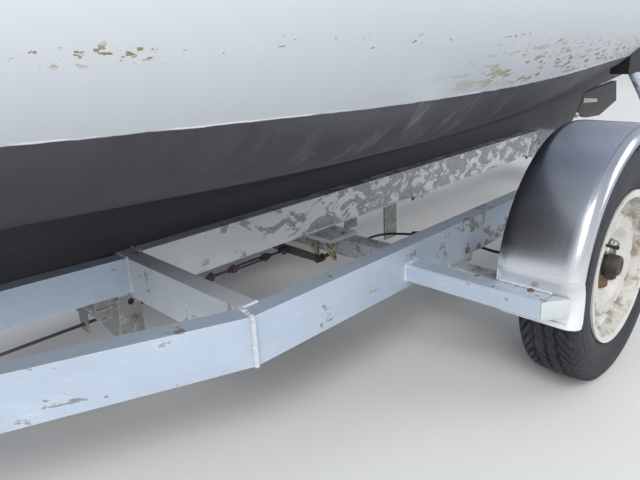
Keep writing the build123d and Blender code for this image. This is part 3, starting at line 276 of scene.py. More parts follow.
def makeMetal(name, color, dull, rough, scratch, metallic=1.0, dirt=0.2):
    startFinish(name, Metallic=metallic)
    spot = place()
    lines = noise((3.0, 40.0, 3.0), 8.0, 6, 0.7)
    cloud = noise(spot, 7.0, 5)
    spots = both(fade(noise(spot, 55.0, 5, 0.7), 0.62, 0.72), fade(cloud, 0.3, 0.6))
    tone = tint(blendColor(fade(cloud, 0.35, 0.75), color, dull), (0.1, 0.085, 0.07), spots, dirt)
    shine = blendValue(both(lines, cloud), rough, rough + 0.35)
    shine = blendValue(spots, shine, min(0.9, rough + 0.4))
    return finishWith(tone, shine, plus(lines, cloud), 0.0003, scratch)


def makeSheet(name):
    # bright sheet with a painted reflection: dark and bluish high on the crown of the mudguards,
    # pale low down
    startFinish(name, Metallic=1.0)
    x, y, z = axes()
    spot = place()
    cloud = noise(spot, 5.0, 5)
    # painted reflection: dark blue-grey high up, pale toward the bottom
    color = blendColor(fade(z, 0.56, 0.3), (0.3, 0.32, 0.4), (0.84, 0.855, 0.87))
    color = tint(color, (0.5, 0.52, 0.56), fade(cloud, 0.4, 0.7), 0.25)
    stains = fade(noise(spot, 60.0, 6, 0.7), 0.66, 0.74)
    color = tint(color, (0.3, 0.29, 0.28), stains, 0.3)
    lines = noise((3.0, 60.0, 3.0), 8.0, 6, 0.7)
    rough = blendValue(either(both(lines, cloud), stains), 0.14, 0.4)
    metal = blendValue(fade(z, 0.4, 0.3), 1.0, 0.45)
    return finishWith(color, rough, plus(lines, cloud), 0.0003, 0.14, metal)


def makeWood(name, light, dark, gloss=0.25, upright=False):
    startFinish(name, Coat_Weight=0.5, Coat_Roughness=0.12)
    grain, thin = ((16.0, 16.0, 1.2), (90.0, 90.0,
                                       4.0)) if upright else ((1.2, 16.0, 16.0), (4.0, 90.0, 90.0))
    rings = noise(grain, 5.0, 8, 0.62, 1.2)
    fine = noise(thin, 3.0, 5)
    color = blendColor(fade(rings, 0.32, 0.68), dark, light)
    color = tint(color, dark, fade(fine, 0.5, 0.75), 0.4)
    worn = fade(noise(place(), 5.0, 6), 0.6, 0.72)
    color = tint(color, (0.42, 0.3, 0.19), worn, 0.35)
    return finishWith(color, blendValue(worn, gloss, 0.6), plus(fine, rings), 0.0004, 0.35)


def makeRubber(name, color, dust):
    startFinish(name, Specular_IOR_Level=0.35)
    spot = place()
    dusty = fade(noise(spot, 9.0, 7, 0.65), 0.48, 0.75)
    tone = tint(color, (0.13, 0.135, 0.15), dusty, dust)
    return finishWith(tone, blendValue(dusty, 0.62, 0.9), noise(spot, 260.0, 3), 0.0003, 0.4)


def makePlastic(name, color, rough):
    startFinish(name, Coat_Weight=0.3)
    spot = place()
    cloud = noise(spot, 12.0, 4)
    tone = blendColor(fade(cloud, 0.3, 0.8), color, darker(color, 0.82))
    return finishWith(tone, blendValue(cloud, rough, rough + 0.2), noise(spot, 90.0, 3), 0.0002,
                      0.3)


def makeDeckPaint(name, color, grit=0.7):
    startFinish(name)
    spot = place()
    sand = noise(spot, 420.0, 3, 0.7)
    stain = noise(spot, 3.0, 7, 0.62)
    tone = blendColor(fade(stain, 0.42, 0.75), color, darker(color, 0.8))
    tone = tint(tone, (0.3, 0.27, 0.22), fade(noise((1.0, 6.0, 6.0), 9.0, 8, 0.7), 0.66, 0.7), 0.35)
    return finishWith(tone, blendValue(stain, 0.45, 0.75), plus(sand, stain), 0.0008, grit)


def makeWheelPaint(name):
    # cream paint on the dish, a near-black middle as painted shade in the recess round the hub, and
    # a scoured lip with a channel of rust and painted shade
    startFinish(name)
    x, y, z = axes()
    away, high = minus(x, axleX), minus(z, 0.285)
    radius = calc("SQRT", plus(times(away, away), times(high, high)))
    spot = place()
    stain = noise(spot, 14.0, 7, 0.66)
    tone = blendColor(fade(stain, 0.4, 0.75), (0.62, 0.61, 0.57), (0.43, 0.42, 0.38))
    lip = fade(radius, 0.158, 0.17)
    tone = tint(tone, (0.74, 0.73, 0.7), lip)
    # channel: patchy brown, partly rust, partly painted shade inside the rim
    channel = both(band(radius, 0.138, 0.148, 0.168, 0.18),
                   fade(noise(spot, 21.0, 7, 0.68), 0.44, 0.6))
    tone = tint(tone, (0.2, 0.145, 0.095), channel, 0.75)
    speck = noise(spot, 95.0, 8, 0.7)
    rust = fade(speck, 0.64, 0.665)
    tone = tint(tone, (0.36, 0.27, 0.18), fade(speck, 0.585, 0.65), 0.4)
    tone = tint(tone, (0.14, 0.075, 0.04), rust)
    # painted shade: near-black round the recess of the hub
    recessShade = fade(plus(radius, times(minus(stain, 0.5), 0.016)), 0.0645, 0.06)
    tone = tint(tone, (0.028, 0.027, 0.027), recessShade)
    rough = blendValue(either(rust, channel), blendValue(lip, 0.4, 0.24), 0.8)
    return finishWith(tone, rough, plus(stain, rust), 0.0005, 0.45, times(lip, 0.25))


finishes = {}
for name, make, *settings in (
    ("hullPaint", makeHullPaint),
    ("bottomPaint", makeHullPaint, True),
    ("trailerPaint", makeTrailerPaint, (0.48, 0.565, 0.685), 0.2, 0.4, 0.5),
    ("innerPaint", makeTrailerPaint, (0.76, 0.8, 0.835), 0.35, 0.6, 1.0),
    ("crossPaint", makeTrailerPaint, (0.6, 0.65, 0.71), 0.35, 0.6),
    ("trailerPaintWorn", makeTrailerPaint, (0.46, 0.5, 0.54), 0.9, 0.9),
    ("weldMetal", makeTrailerPaint, (0.56, 0.61, 0.67), 0.1, 0.2),
    ("capPaint", makeTrailerPaint, (0.6, 0.64, 0.66), 0.7, 0.3),
    # dark grey coat: painted shade on the brake bracket, while on the cradle brackets it is their
    # own grey
    ("greyPlate", makeTrailerPaint, (0.27, 0.275, 0.27), 0.7, 0.5),
    ("stainedPlate", makeTrailerPaint, (0.44, 0.4, 0.31), 0.5, 2.2),
    ("brightSheet", makeSheet),
    ("stainless", makeMetal, (0.62, 0.62, 0.61), (0.5, 0.5, 0.5), 0.25, 0.4),
    ("zincBolt", makeMetal, (0.42, 0.41, 0.38), (0.22, 0.18, 0.14), 0.42, 0.6, 0.8, 0.7),
    ("rustyBolt", makeMetal, (0.2, 0.11, 0.06), (0.12, 0.055, 0.03), 0.75, 0.9, 0.1, 0.5),
    ("bronze", makeMetal, (0.5, 0.46, 0.36), (0.3, 0.3, 0.25), 0.42, 0.5, 0.9, 0.4),
    ("agedSteel", makeMetal, (0.135, 0.115, 0.115), (0.1, 0.075, 0.065), 0.55, 0.6, 0.5, 0.5),
    ("darkSteel", makeMetal, (0.055, 0.052, 0.05), (0.1, 0.075, 0.055), 0.5, 0.6, 0.5, 0.6),
    ("castIron", makeMetal, (0.1, 0.09, 0.082), (0.16, 0.085, 0.05), 0.7, 0.8, 0.3, 0.6),
    ("varnish", makeWood, (0.42, 0.19, 0.065), (0.2, 0.075, 0.025)),
    ("spar", makeWood, (0.6, 0.34, 0.13), (0.4, 0.2, 0.07), 0.22, True),
    ("sparLong", makeWood, (0.6, 0.34, 0.13), (0.4, 0.2, 0.07), 0.22),
    ("plank", makeWood, (0.16, 0.125, 0.095), (0.085, 0.065, 0.05), 0.7),
    ("teak", makeWood, (0.45, 0.33, 0.22), (0.3, 0.21, 0.13), 0.65),
    ("deckPaint", makeDeckPaint, (0.56, 0.5, 0.38)),
    ("cabinPaint", makeDeckPaint, (0.72, 0.71, 0.67), 0.12),
    ("wheelPaint", makeWheelPaint),
    ("tyreRubber", makeRubber, (0.018, 0.02, 0.026), 0.45),
    ("blackRubber", makeRubber, (0.018, 0.018, 0.018), 0.2),
    ("strap", makeRubber, (0.05, 0.09, 0.22), 0.35),
    ("rope", makeRubber, (0.55, 0.52, 0.44), 0.3),
    ("leather", makeRubber, (0.2, 0.09, 0.04), 0.3),
    ("pane", makePlastic, (0.05, 0.065, 0.07), 0.06),
    ("redLens", makePlastic, (0.55, 0.02, 0.015), 0.12),
    ("amberLens", makePlastic, (0.8, 0.26, 0.02), 0.12),
    ("whitePanel", makePlastic, (0.72, 0.72, 0.7), 0.35),
):
    finishes[name] = make(name, *settings)
print("finishes made:", len(finishes))

nodeFinish = dict(
    hullPaint="hull", bottomPaint="keel rudder", deckPaint="deck",
    cabinPaint="coachroof sliding_hatch forehatch_lid locker_lid_port locker_lid_starboard",
    varnish="coamings toe_rails rubbing_strakes washboards forehatch_coaming hatch_rails tiller "
            "mast_step",
    spar="mast", sparLong="boom gaff", plank="keel_plank", pane="windows", bronze="rudder_heel",
    stainless="stay_fittings bow_eye forestay shrouds topping_lift",
    trailerPaint="outer_rails front_rails drawbar winch_post jockey_leg hull_posts guard_bars",
    # the brake bracket gets the dark grey plate coat as painted shade
    innerPaint="inner_rails", crossPaint="cross_members", greyPlate="brake_bracket",
    trailerPaintWorn="keel_bearers rear_cross_tube axle_beam axle_arm_port axle_arm_starboard",
    castIron="hub_port hub_starboard hitch_head", wheelPaint="rim_port rim_starboard jockey_fork",
    brightSheet="mudguard_port mudguard_starboard", tyreRubber="tyre_port tyre_starboard",
    blackRubber="jockey_wheel bow_stop hull_pads brake_cables", darkSteel="winch",
    whitePanel="light_board")
for name, members in nodeFinish.items():
    for member in members.split():
        mesh = nodes[member].data
        mesh.materials.clear()
        mesh.materials.append(finishes[name])
softEdge = dict(width=0.0025, segments=2, limit_method="ANGLE", angle_limit=math.radians(50),
                harden_normals=True)
for member in ("outer_rails inner_rails front_rails drawbar cross_members guard_bars "
               "rear_cross_tube winch_post hull_posts keel_bearers").split():
    softened = nodes[member].modifiers.new("edges", "BEVEL")
    for key, value in softEdge.items():
        setattr(softened, key, value)


# Mesh helpers: each adds a shape to the piece being made
axisHole = 0.0005  # radius left open on the axis of a turned shape


def circle(count):
    return [2 * math.pi * i / count for i in range(count)]


def disc(radius, high, low=0.0):
    return [(axisHole, low), (radius, low), (radius, high), (axisHole, high)]


def capped(*profile, tip=None):
    return [(axisHole, profile[0][1]), *profile, (axisHole, profile[-1][1] if tip is None else tip)]


def hoop(inner, outer, high, low=None):
    low = -high if low is None else low
    return [(inner, low), (outer, low), (outer, high), (inner, high)]


def facing(spot, direction):
    return Matrix.Translation(spot) @ Vector(direction).to_track_quat("Z", "Y").to_matrix().to_4x4()


def bridge(piece, rings, closedAlong=False, closedAcross=False):
    count, width = len(rings), len(rings[0])
    for i in range(count if closedAlong else count - 1):
        here, there = rings[i], rings[(i + 1) % count]
        for k in range(width if closedAcross else width - 1):
            m = (k + 1) % width
            piece.faces.new((here[k], here[m], there[m], there[k]))


def addShell(piece, low, high):
    bridge(piece, low)
    bridge(piece, high)
    for j in (0, -1):
        bridge(piece, ([row[j] for row in low], [row[j] for row in high]))
        bridge(piece, (low[j], high[j]))


def addPrism(piece, outline, shift):
    near = [piece.verts.new(point) for point in outline]
    far = [piece.verts.new(Vector(point) + Vector(shift)) for point in outline]
    made = [piece.faces.new(near), piece.faces.new(far[::-1])]
    for i, start in enumerate(near):
        j = (i + 1) % len(near)
        made.append(piece.faces.new((start, near[j], far[j], far[i])))
    return made


def bevelEdges(piece, edges, offset, segments):
    bmesh.ops.bevel(piece, geom=edges, offset=offset, segments=segments, affect="EDGES",
                    profile=0.5)


def addBlock(piece, size, matrix, bevel, segments=2):
    before = set(piece.verts)
    bmesh.ops.create_cube(piece, size=1.0)
    fresh = [v for v in piece.verts if v not in before]
    for v in fresh:
        v.co = Vector([c * length for c, length in zip(v.co, size)])
    bevelEdges(piece, list({e for v in fresh for e in v.link_edges}), bevel, segments)
    fresh = [v for v in piece.verts if v not in before]
    bmesh.ops.transform(piece, matrix=matrix, verts=fresh)


def boxBetween(piece, start, end, bevel, segments=2):
    low, high = zip(*(sorted(pair) for pair in zip(start, end)))
    middle = [(a + b) / 2 for a, b in zip(low, high)]
    addBlock(piece, [b - a for a, b in zip(low, high)], Matrix.Translation(middle), bevel, segments)


def addLathe(piece, profile, matrix, steps=32, closed=False):
    rings = [[piece.verts.new(matrix @ Vector((r * math.cos(a), r * math.sin(a), height)))
              for r, height in profile] for a in circle(steps)]
    bridge(piece, rings, True, closed)
    if not closed:
        piece.faces.new([ring[0] for ring in reversed(rings)])
        piece.faces.new([ring[-1] for ring in rings])


def addTube(piece, points, radius, sides=12, closed=False, wave=None):
    points = [Vector(p) for p in points]
    count = len(points)
    rings = []
    side = None
    for i, point in enumerate(points):
        if closed:
            run = points[(i + 1) % count] - points[i - 1]
        else:
            run = points[min(i + 1, count - 1)] - points[max(i - 1, 0)]
        run.normalize()
        if side is None:
            side = run.orthogonal().normalized()
        side = (side - run * side.dot(run)).normalized()
        other = run.cross(side)
        size = radius * (wave[i] if wave else 1.0)
        rings.append([piece.verts.new(point + (side * math.cos(a) + other * math.sin(a)) * size)
                      for a in circle(sides)])
    bridge(piece, rings, closed, True)
    if not closed:
        piece.faces.new(rings[0][::-1])
        piece.faces.new(rings[-1])


def finishPiece(name, piece, finish, body=standing, sharp=35.0, replaces=()):
    bmesh.ops.recalc_face_normals(piece, faces=piece.faces)
    mesh = bpy.data.meshes.new(name)
    piece.to_mesh(mesh)
    piece.free()
    mesh.polygons.foreach_set("use_smooth", [True] * len(mesh.polygons))
    mesh.set_sharp_from_angle(angle=math.radians(sharp))
    made = bpy.data.objects.new(name, mesh)
    bpy.context.scene.collection.objects.link(made)
    mesh.materials.append(finishes[finish])
    if replaces:
        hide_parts(*replaces)
    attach(made, body)


def hexBolt(piece, spot, direction, across, height, washer=True, thread=0.0):
    matrix = facing(spot, direction)
    radius = across / math.sqrt(3)
    base = 0.0
    if washer:
        base = 0.0012
        addLathe(piece, hoop(across * 0.3, across * 0.92, base, 0.0), matrix, 24, True)
    addLathe(piece, capped((radius, base), (radius, base + height * 0.86),
                           (radius * 0.86, base + height)), matrix, 6)
    if thread:
        addLathe(piece, disc(across * 0.3, base + height + thread, base + height), matrix, 16)


def weldBead(piece, start, end, size, seed):
    start, end = Vector(start), Vector(end)
    steps = max(3, int((end - start).length / 0.0022))
    chance = random.Random(seed)
    bumps = [0.78 + 0.3 * abs(math.sin(i * 1.45)) + 0.16 * chance.random()
             for i in range(steps + 1)]
    points = []
    for i in range(steps + 1):
        drift = Vector([chance.uniform(-1, 1) for axis in range(3)]) * size * 0.14
        points.append(start.lerp(end, i / steps) + drift)
    addTube(piece, points, size, 8, wave=bumps)


# What the pieces stand on: rays sent at the solids of the frame
surfaces = {}


def hit(node, start, way):
    if node not in surfaces:
        mesh = nodes[node].data
        surfaces[node] = BVHTree.FromPolygons([v.co[:] for v in mesh.vertices],
                                              [tuple(p.vertices) for p in mesh.polygons])
    return surfaces[node].ray_cast(Vector(start), Vector(way))[0]


def topOf(node, x, y):
    return hit(node, (x, y, 3.0), (0, 0, -1)).z


# Welds of the trailer frame: upright runs end at the rails' top, flat ones lie on it
rails = dict(top=0.356, outerFace=0.637, width=0.045, outerBottom=0.254, innerBottom=0.246,
             frontBottom=0.268, kink=0.81, innerFace=0.1385, frontFace=0.1565, bar=(0.308, 0.358),
             barBottom=0.272, barTop=0.314, barEnd=0.966)
weld = dict(lift=0.0012, crossLow=0.258, innerLow=0.256, wide=0.0042, flat=0.0036, rear=0.004,
            bar=0.0038)
bars = (rails["bar"], (-rails["bar"][1], -rails["bar"][0]))
kinkX, crossX = at(rails["kink"]), at(rails["kink"] - rails["width"])
rearX, endX = at(-1.44), at(-1.485)
lift, crossLow, innerLow = weld["lift"], weld["crossLow"], weld["innerLow"]
piece = bmesh.new()
for side in sides:
    outer, inner = rails["outerFace"] * side, (rails["outerFace"] - rails["width"]) * side
    innerFace, frontFace = rails["innerFace"] * side, rails["frontFace"] * side
    out, wide = lift * side, rails["width"] * side
    top = rails["top"] + lift * 0.4
    runs = []
    for x, y, *rest in (
        (kinkX + 0.0043, outer + out, rails["outerBottom"], 0.0052),
        (kinkX + 0.0043, outer, kinkX - 0.004, inner, weld["wide"]),
        (crossX - lift, inner - 0.002 * side, crossLow, weld["wide"]),
        (kinkX + lift, inner - 0.004 * side, crossLow, weld["wide"]),
        (crossX, inner, kinkX, inner, weld["flat"]),
        (crossX - lift, innerFace + out, innerLow, weld["wide"]),
        (crossX, innerFace - wide, crossX, innerFace, weld["flat"]),
        (kinkX + 0.001, frontFace + out, rails["frontBottom"], 0.005),
        (kinkX, frontFace - wide, kinkX, frontFace, weld["flat"]),
        (endX - lift, innerFace, innerLow, weld["rear"]),
        (rearX + lift, inner - 0.002 * side, crossLow, weld["rear"]),
        (rearX + lift, innerFace + out, crossLow, weld["rear"]),
        (endX, inner, rearX, inner, weld["flat"]),
    ):
        if len(rest) == 2:
            runs.append(((x, y, rest[0]), (x, y, top), rest[1]))
        else:
            runs.append(((x, y, top), (rest[0], rest[1], top), rest[2]))
    for low, high in bars:
        for x0, z0, x1, z1 in ((low, 0.274, low, 0.312), (high, 0.274, high, 0.312),
                               (low, rails["barBottom"], high, rails["barBottom"]),
                               (low, rails["barTop"], high, rails["barTop"])):
            runs.append(((at(x0), outer + out, z0), (at(x1), outer + out, z1), weld["bar"]))
    for x in (0.055, 0.165):
        runs.append(((at(x), inner, 0.2535), (at(x), outer, 0.2535), weld["flat"]))
    for number, (start, end, size) in enumerate(runs):
        weldBead(piece, start, end, size, number)
hitch = dict(low=3.47, high=3.53, half=0.03, edge=0.0002, top=0.3575)
for y in (hitch["half"] + hitch["edge"], -hitch["half"] - hitch["edge"]):
    weldBead(piece, (at(hitch["low"]), y, hitch["top"]), (at(hitch["high"]), y, hitch["top"]),
             0.004, 71)
for x in (at(hitch["low"] - hitch["edge"]), at(hitch["high"] + hitch["edge"])):
    weldBead(piece, (x, -hitch["half"], hitch["top"]), (x, hitch["half"], hitch["top"]), 0.004, 72)
finishPiece("weldBeads", piece, "weldMetal")

# Bar ends: a wedge cap and two rivets on each guard bar, two bolts beside it on the rail
guard = dict(radius=0.315, centre=0.3, inner=0.846, shoulder=0.996, rounding=0.026, sheet=0.0022,
             wall=0.062, apronX=0.3005, apronFoot=0.243, arcSteps=72, flatSteps=14, turnSteps=10,
             wallSteps=64)
rivet = dict(dull=capped((0.0062, -0.001), (0.0058, 0.0016), (0.0036, 0.0032), tip=0.0038),
             rusty=capped((0.0075, -0.001), (0.007, 0.002), (0.0042, 0.0042), tip=0.005),
             inset=0.0085, dullY=0.803, rustyY=0.926)
cap = dict(gap=0.0008, length=0.039, bevel=0.003)
caps, bolts, rusty, seams = bmesh.new(), bmesh.new(), bmesh.new(), bmesh.new()
number = 0
for side in sides:
    for low, high in bars:
        way = 1 if low > 0 else -1
        near, far = (low, high) if low > 0 else (high, low)
        end = rails["barEnd"] + cap["gap"]
        made = addPrism(caps, [(at(far), side * end, rails["barBottom"]),
                               (at(near), side * end, rails["barBottom"]),
                               (at(near), side * (end + cap["length"]), rails["barBottom"])],
                        (0, 0, rails["barTop"] - rails["barBottom"]))
        bevelEdges(caps, list({e for face in made for e in face.edges}), cap["bevel"], 3)
        rivetX = at(near + way * rivet["inset"])
        addLathe(bolts, rivet["dull"], facing((rivetX, side * rivet["dullY"], rails["barTop"]),
                                              (0, 0, 1)), 20)
        addLathe(rusty, rivet["rusty"], facing((rivetX, side * rivet["rustyY"], rails["barTop"]),
                                               (0, 0, 1)), 20)
        for x, z in ((0.081, 0.27), (0.022, 0.264)):
            hexBolt(bolts, (at(way * x), side * rails["outerFace"], z), (0, side, 0), 0.01, 0.005)
        foot, seamZ = at(near - way * 0.0015), rails["barTop"] + 0.001
        weldBead(seams, (foot, side * (guard["inner"] + 0.004), seamZ),
                 (foot, side * rails["barEnd"], seamZ), 0.0028, number)
        number += 1
finishPiece("guardBarCaps", caps, "capPaint")
finishPiece("guardSeams", seams, "weldMetal")


# Mudguards: a bright sheet bent over the wheel, rolled down along its outer shoulder

def guardPath():
    foot, face = guard["apronFoot"], guard["apronX"]
    apron = [(face + 0.003, foot), (face + 0.003, foot + 0.01), (face, foot + 0.0125),
             (face, 0.285), (face + 0.0002, 0.3), (face + 0.003, 0.318), (face + 0.008, 0.332)]
    path = list(apron)
    r, first = guard["radius"] + 0.0015, math.radians(8)
    for i in range(guard["arcSteps"] + 1):
        angle = first + (math.pi - 2 * first) * i / guard["arcSteps"]
        path.append((r * math.cos(angle), guard["centre"] + r * math.sin(angle)))
    return path + [(-x, z) for x, z in reversed(apron)]


def guardSection(lift):
    # offsets across the sheet: how far out along the wheel's axle, and how high above the path
    inner, shoulder = guard["inner"], guard["shoulder"]
    section = []
    for i in range(guard["flatSteps"] + 1):
        t = i / guard["flatSteps"]
        section.append((inner + (shoulder - inner) * t, lift - 0.005 * max(0.0, 1 - t * 7) ** 2))
    turn = guard["rounding"] - guard["sheet"]
    for i in range(1, guard["turnSteps"] + 1):
        angle = math.radians(90 - 90 * i / guard["turnSteps"])
        section.append((shoulder + (turn + lift) * math.cos(angle),
                        (turn + lift) * math.sin(angle) - turn))
    return section


for side in sides:
    piece = bmesh.new()
    path = guardPath()
    skins = []
    for lift in (0.0, guard["sheet"]):
        section = guardSection(lift)
        rows = []
        for i, (x, z) in enumerate(path):
            before, after = path[max(i - 1, 0)], path[min(i + 1, len(path) - 1)]
            run = Vector((after[0] - before[0], after[1] - before[1])).normalized()
            points = [(y, Vector((x, z)) + Vector((run.y, -run.x)) * rise) for y, rise in section]
            rows.append([piece.verts.new((at(point.x), side * y, point.y)) for y, point in points])
        skins.append(rows)
    addShell(piece, *skins)
    # inner wall: a half ring from the crown down towards the bars
    wall = []
    for i in range(guard["wallSteps"] + 1):
        angle = math.radians(3) + math.radians(174) * i / guard["wallSteps"]
        wall.append([(r * math.cos(angle), guard["centre"] + r * math.sin(angle))
                     for r in (guard["radius"] - depth
                               for depth in (0.002, 0.02, guard["wall"] - 0.004, guard["wall"]))])
    sheets = []
    for y in (guard["inner"] + 0.0002, guard["inner"] + 0.0024):
        sheets.append([[piece.verts.new((at(x), side * y, z)) for x, z in column]
                       for column in wall])
    addShell(piece, *sheets)
    finishPiece("mudguardShell" + sideName(side), piece, "brightSheet", sharp=50,
                replaces=("mudguard_" + sideName(side).lower(),))
finishPiece("guardBolts", bolts, "zincBolt")
finishPiece("guardRustyBolts", rusty, "rustyBolt")
print("frame welds, bars and mudguards made")

# Tyres: tread ribs cut by three grooves and slanted sipes, and a moulded sidewall
tyre = dict(radius=0.285, middle=0.941, bead=0.171, beadHalf=0.0565, turns=600, crownHalf=0.056,
            crownDrop=0.0045, crownSteps=44, groove=0.0065, grooveHalf=0.0031,
            grooves=(-0.026, 0.0, 0.026), shoulder=0.0285, blocks=60, lug=0.0028,
            wall=((0.058, 0.187), (0.0635, 0.196), (0.0672, 0.206), (0.0688, 0.209),
                  (0.0688, 0.212), (0.0695, 0.214), (0.07, 0.226), (0.07, 0.236), (0.0692, 0.246),
                  (0.068, 0.2475), (0.0684, 0.25), (0.0672, 0.258), (0.064, 0.268),
                  (0.0605, 0.274)))
pitch = 2 * math.pi / tyre["blocks"]


def tyreProfile():
    half, wall = tyre["crownHalf"], tyre["wall"]
    rows = [(-tyre["beadHalf"], tyre["bead"], 0)] + [(-y, r, 0) for y, r in wall]
    for i in range(tyre["crownSteps"] + 1):
        y = -half + 2 * half * i / tyre["crownSteps"]
        rows.append((y, tyre["radius"] - tyre["crownDrop"] * (abs(y) / half) ** 2.6, 1))
    return rows + [(y, r, 0) for y, r in reversed(wall)] + [(tyre["beadHalf"], tyre["bead"], 0)]


def treadDrop(y, angle):
    for groove in tyre["grooves"]:
        weave = 0.002 * math.sin(angle * 46 + groove * 90)
        if abs(y - groove - weave) < tyre["grooveHalf"]:
            return tyre["groove"]
    if abs(y) > tyre["shoulder"]:
        slant = 0.3 * (abs(y) - tyre["shoulder"]) / 0.285 * 6
        phase = (angle + slant + (0.5 * pitch if y > 0 else 0)) % pitch / pitch
        return tyre["groove"] * 0.9 if phase < 0.26 else 0.0
    phase = (angle + y * 2.6) % pitch / pitch
    return tyre["groove"] * 0.55 if phase < 0.13 else 0.0


def wallDrop(y, angle, radius):
    phase = (angle + (0.5 * pitch if y > 0 else 0)) % pitch / pitch
    return tyre["lug"] if 0.262 < radius < 0.276 and phase < 0.26 else 0.0


for side in sides:
    piece = bmesh.new()
    rings = []
    for angle in circle(tyre["turns"]):
        ring = []
        for y, r, onTread in tyreProfile():
            radius = r - (treadDrop(y, angle) if onTread else wallDrop(y, angle, r))
            ring.append(piece.verts.new((at(radius * math.sin(angle)), side * tyre["middle"] + y,
                                         tyre["radius"] - radius * math.cos(angle))))
        rings.append(ring)
    bridge(piece, rings, True, True)
    finishPiece("tyreTread" + sideName(side), piece, "tyreRubber",
                "wheel_" + sideName(side).lower(), 32, replaces=("tyre_" + sideName(side).lower(),))

# Wheel nuts, two of them rusty, hub caps and valves
wheel = dict(disc=0.9645, boltCircle=0.05, zincBolt=(60, 120), rustyBolt=(-55, -125),
             cap=[(0.0268, 0.0005), (0.0275, 0.004), (0.0275, 0.0085), (0.0262, 0.0095),
                  (0.0262, 0.012), (0.0252, 0.025), (0.0238, 0.03), (0.0215, 0.0322),
                  (0.012, 0.0326), (0.011, 0.0312), (axisHole, 0.0308)],
             valve=capped((0.0055, 0.0), (0.0045, 0.01), (0.0033, 0.014), (0.0033, 0.028),
                          (0.0042, 0.029), (0.0042, 0.038), tip=0.039))
for side in sides:
    body, label = "wheel_" + sideName(side).lower(), sideName(side)
    for finish, name in (("zincBolt", "wheelNuts"), ("rustyBolt", "rustyWheelNuts")):
        piece = bmesh.new()
        for angle in (math.radians(degrees) for degrees in wheel[finish]):
            spot = (at(wheel["boltCircle"] * math.cos(angle)), side * wheel["disc"],
                    tyre["radius"] + wheel["boltCircle"] * math.sin(angle))
            hexBolt(piece, spot, (0, side, 0), 0.017, 0.013, washer=False, thread=0.004)
            addLathe(piece, capped((0.0135, -0.001), (0.0105, 0.004)), facing(spot, (0, side, 0)),
                     24)
        finishPiece(name + label, piece, finish, body)
    piece = bmesh.new()
    addLathe(piece, wheel["cap"], facing((at(0), side * (wheel["disc"] + 0.0005), tyre["radius"]),
                                         (0, side, 0)), 40)
    finishPiece("hubCap" + label, piece, "darkSteel", body, 30)
    piece = bmesh.new()
    addLathe(piece, wheel["valve"], facing((at(0.118), side * 0.985, tyre["radius"] + 0.088),
                                           (-0.15, side, -0.1)), 16)
    finishPiece("valve" + label, piece, "blackRubber", body)
print("wheels dressed")


def addPin(piece, middle, half, radius, sides=12):
    middle, half = Vector(middle), Vector(half)
    addTube(piece, [middle - half, middle + half], radius, sides)


# Brake gear: thin rod with a knuckle, knob, open turnbuckle and the flat bar that pulls both cables
gear = dict(height=0.158, front=0.24, knuckle=2.345, rodEnd=3.76, screw=(0.27, 0.4), knob=0.478,
            bar=0.17, barHalf=0.166, cableSide=0.15, rod=0.0042)
level, half = gear["height"], gear["barHalf"]
rodX, kneeX, barX = at(gear["rodEnd"]), at(gear["knuckle"]), at(gear["bar"])
nearX, farX = (at(x) for x in gear["screw"])
piece = bmesh.new()
addTube(piece, [(rodX, 0, gear["front"]), (kneeX, 0, level)], 0.0055)
addTube(piece, [(kneeX, 0, level), (farX - 0.02, 0, level)], gear["rod"])
addTube(piece, [(nearX + 0.02, 0, level), (barX, 0, level)], gear["rod"])
boxBetween(piece, (rodX - 0.02, -0.008, gear["front"] - 0.01), (rodX + 0.02, 0.008, 0.254), 0.001)
for y in (-0.008, 0.008):
    boxBetween(piece, (kneeX - 0.022, y - 0.0025, level - 0.011),
               (kneeX + 0.022, y + 0.0025, level + 0.011), 0.001)
addPin(piece, (kneeX, 0, level), (0, 0.014, 0), 0.005, 14)
addLathe(piece, capped((0.011, 0.0), (0.0138, 0.003), (0.0138, 0.01), (0.01, 0.014), (0.007, 0.02)),
         facing((at(gear["knob"]), 0, level), (1, 0, 0)), 24)
for y in (-0.0095, 0.0095):
    addTube(piece, [(nearX, y, level), (nearX + 0.012, y * 1.25, level),
                    (farX - 0.012, y * 1.25, level), (farX, y, level)], 0.0034)
for x, nutX in ((nearX, nearX - 0.019), (farX, farX + 0.012)):
    addLathe(piece, capped((0.0125, -0.009), (0.0135, -0.006), (0.0135, 0.006), (0.0125, 0.009)),
             facing((x, 0, level), (1, 0, 0)), 6)
    addLathe(piece, disc(0.0095, 0.007), facing((nutX, 0, level), (1, 0, 0)), 6)
outline = [(-half, 0.007), (0.01 - half, 0.011), (-0.04, 0.014), (0.04, 0.014),
           (half - 0.01, 0.011), (half, 0.007)]
outline += [(y, -z) for y, z in reversed(outline)]
addPrism(piece, [(barX + 0.003, y, level + z) for y, z in outline], (-0.006, 0, 0))
for y in (-0.0105, 0.0105):
    boxBetween(piece, (barX - 0.008, y - 0.0025, level - 0.01),
               (barX + 0.034, y + 0.0025, level + 0.01), 0.001)
addPin(piece, (barX + 0.022, 0, level), (0, 0.019, 0), 0.0045, 14)
finishPiece("brakeRod", piece, "agedSteel", replaces=("brake_linkage",))
piece = bmesh.new()
for side in sides:
    for x, way in ((0.178, 1), (0.152, -1)):
        hexBolt(piece, (at(x), side * gear["cableSide"], level), (way, 0, 0), 0.014, 0.007)
    addTube(piece, [(at(x), side * gear["cableSide"], level) for x in (0.15, 0.085)], 0.0062, 14)
finishPiece("brakeNuts", piece, "agedSteel")

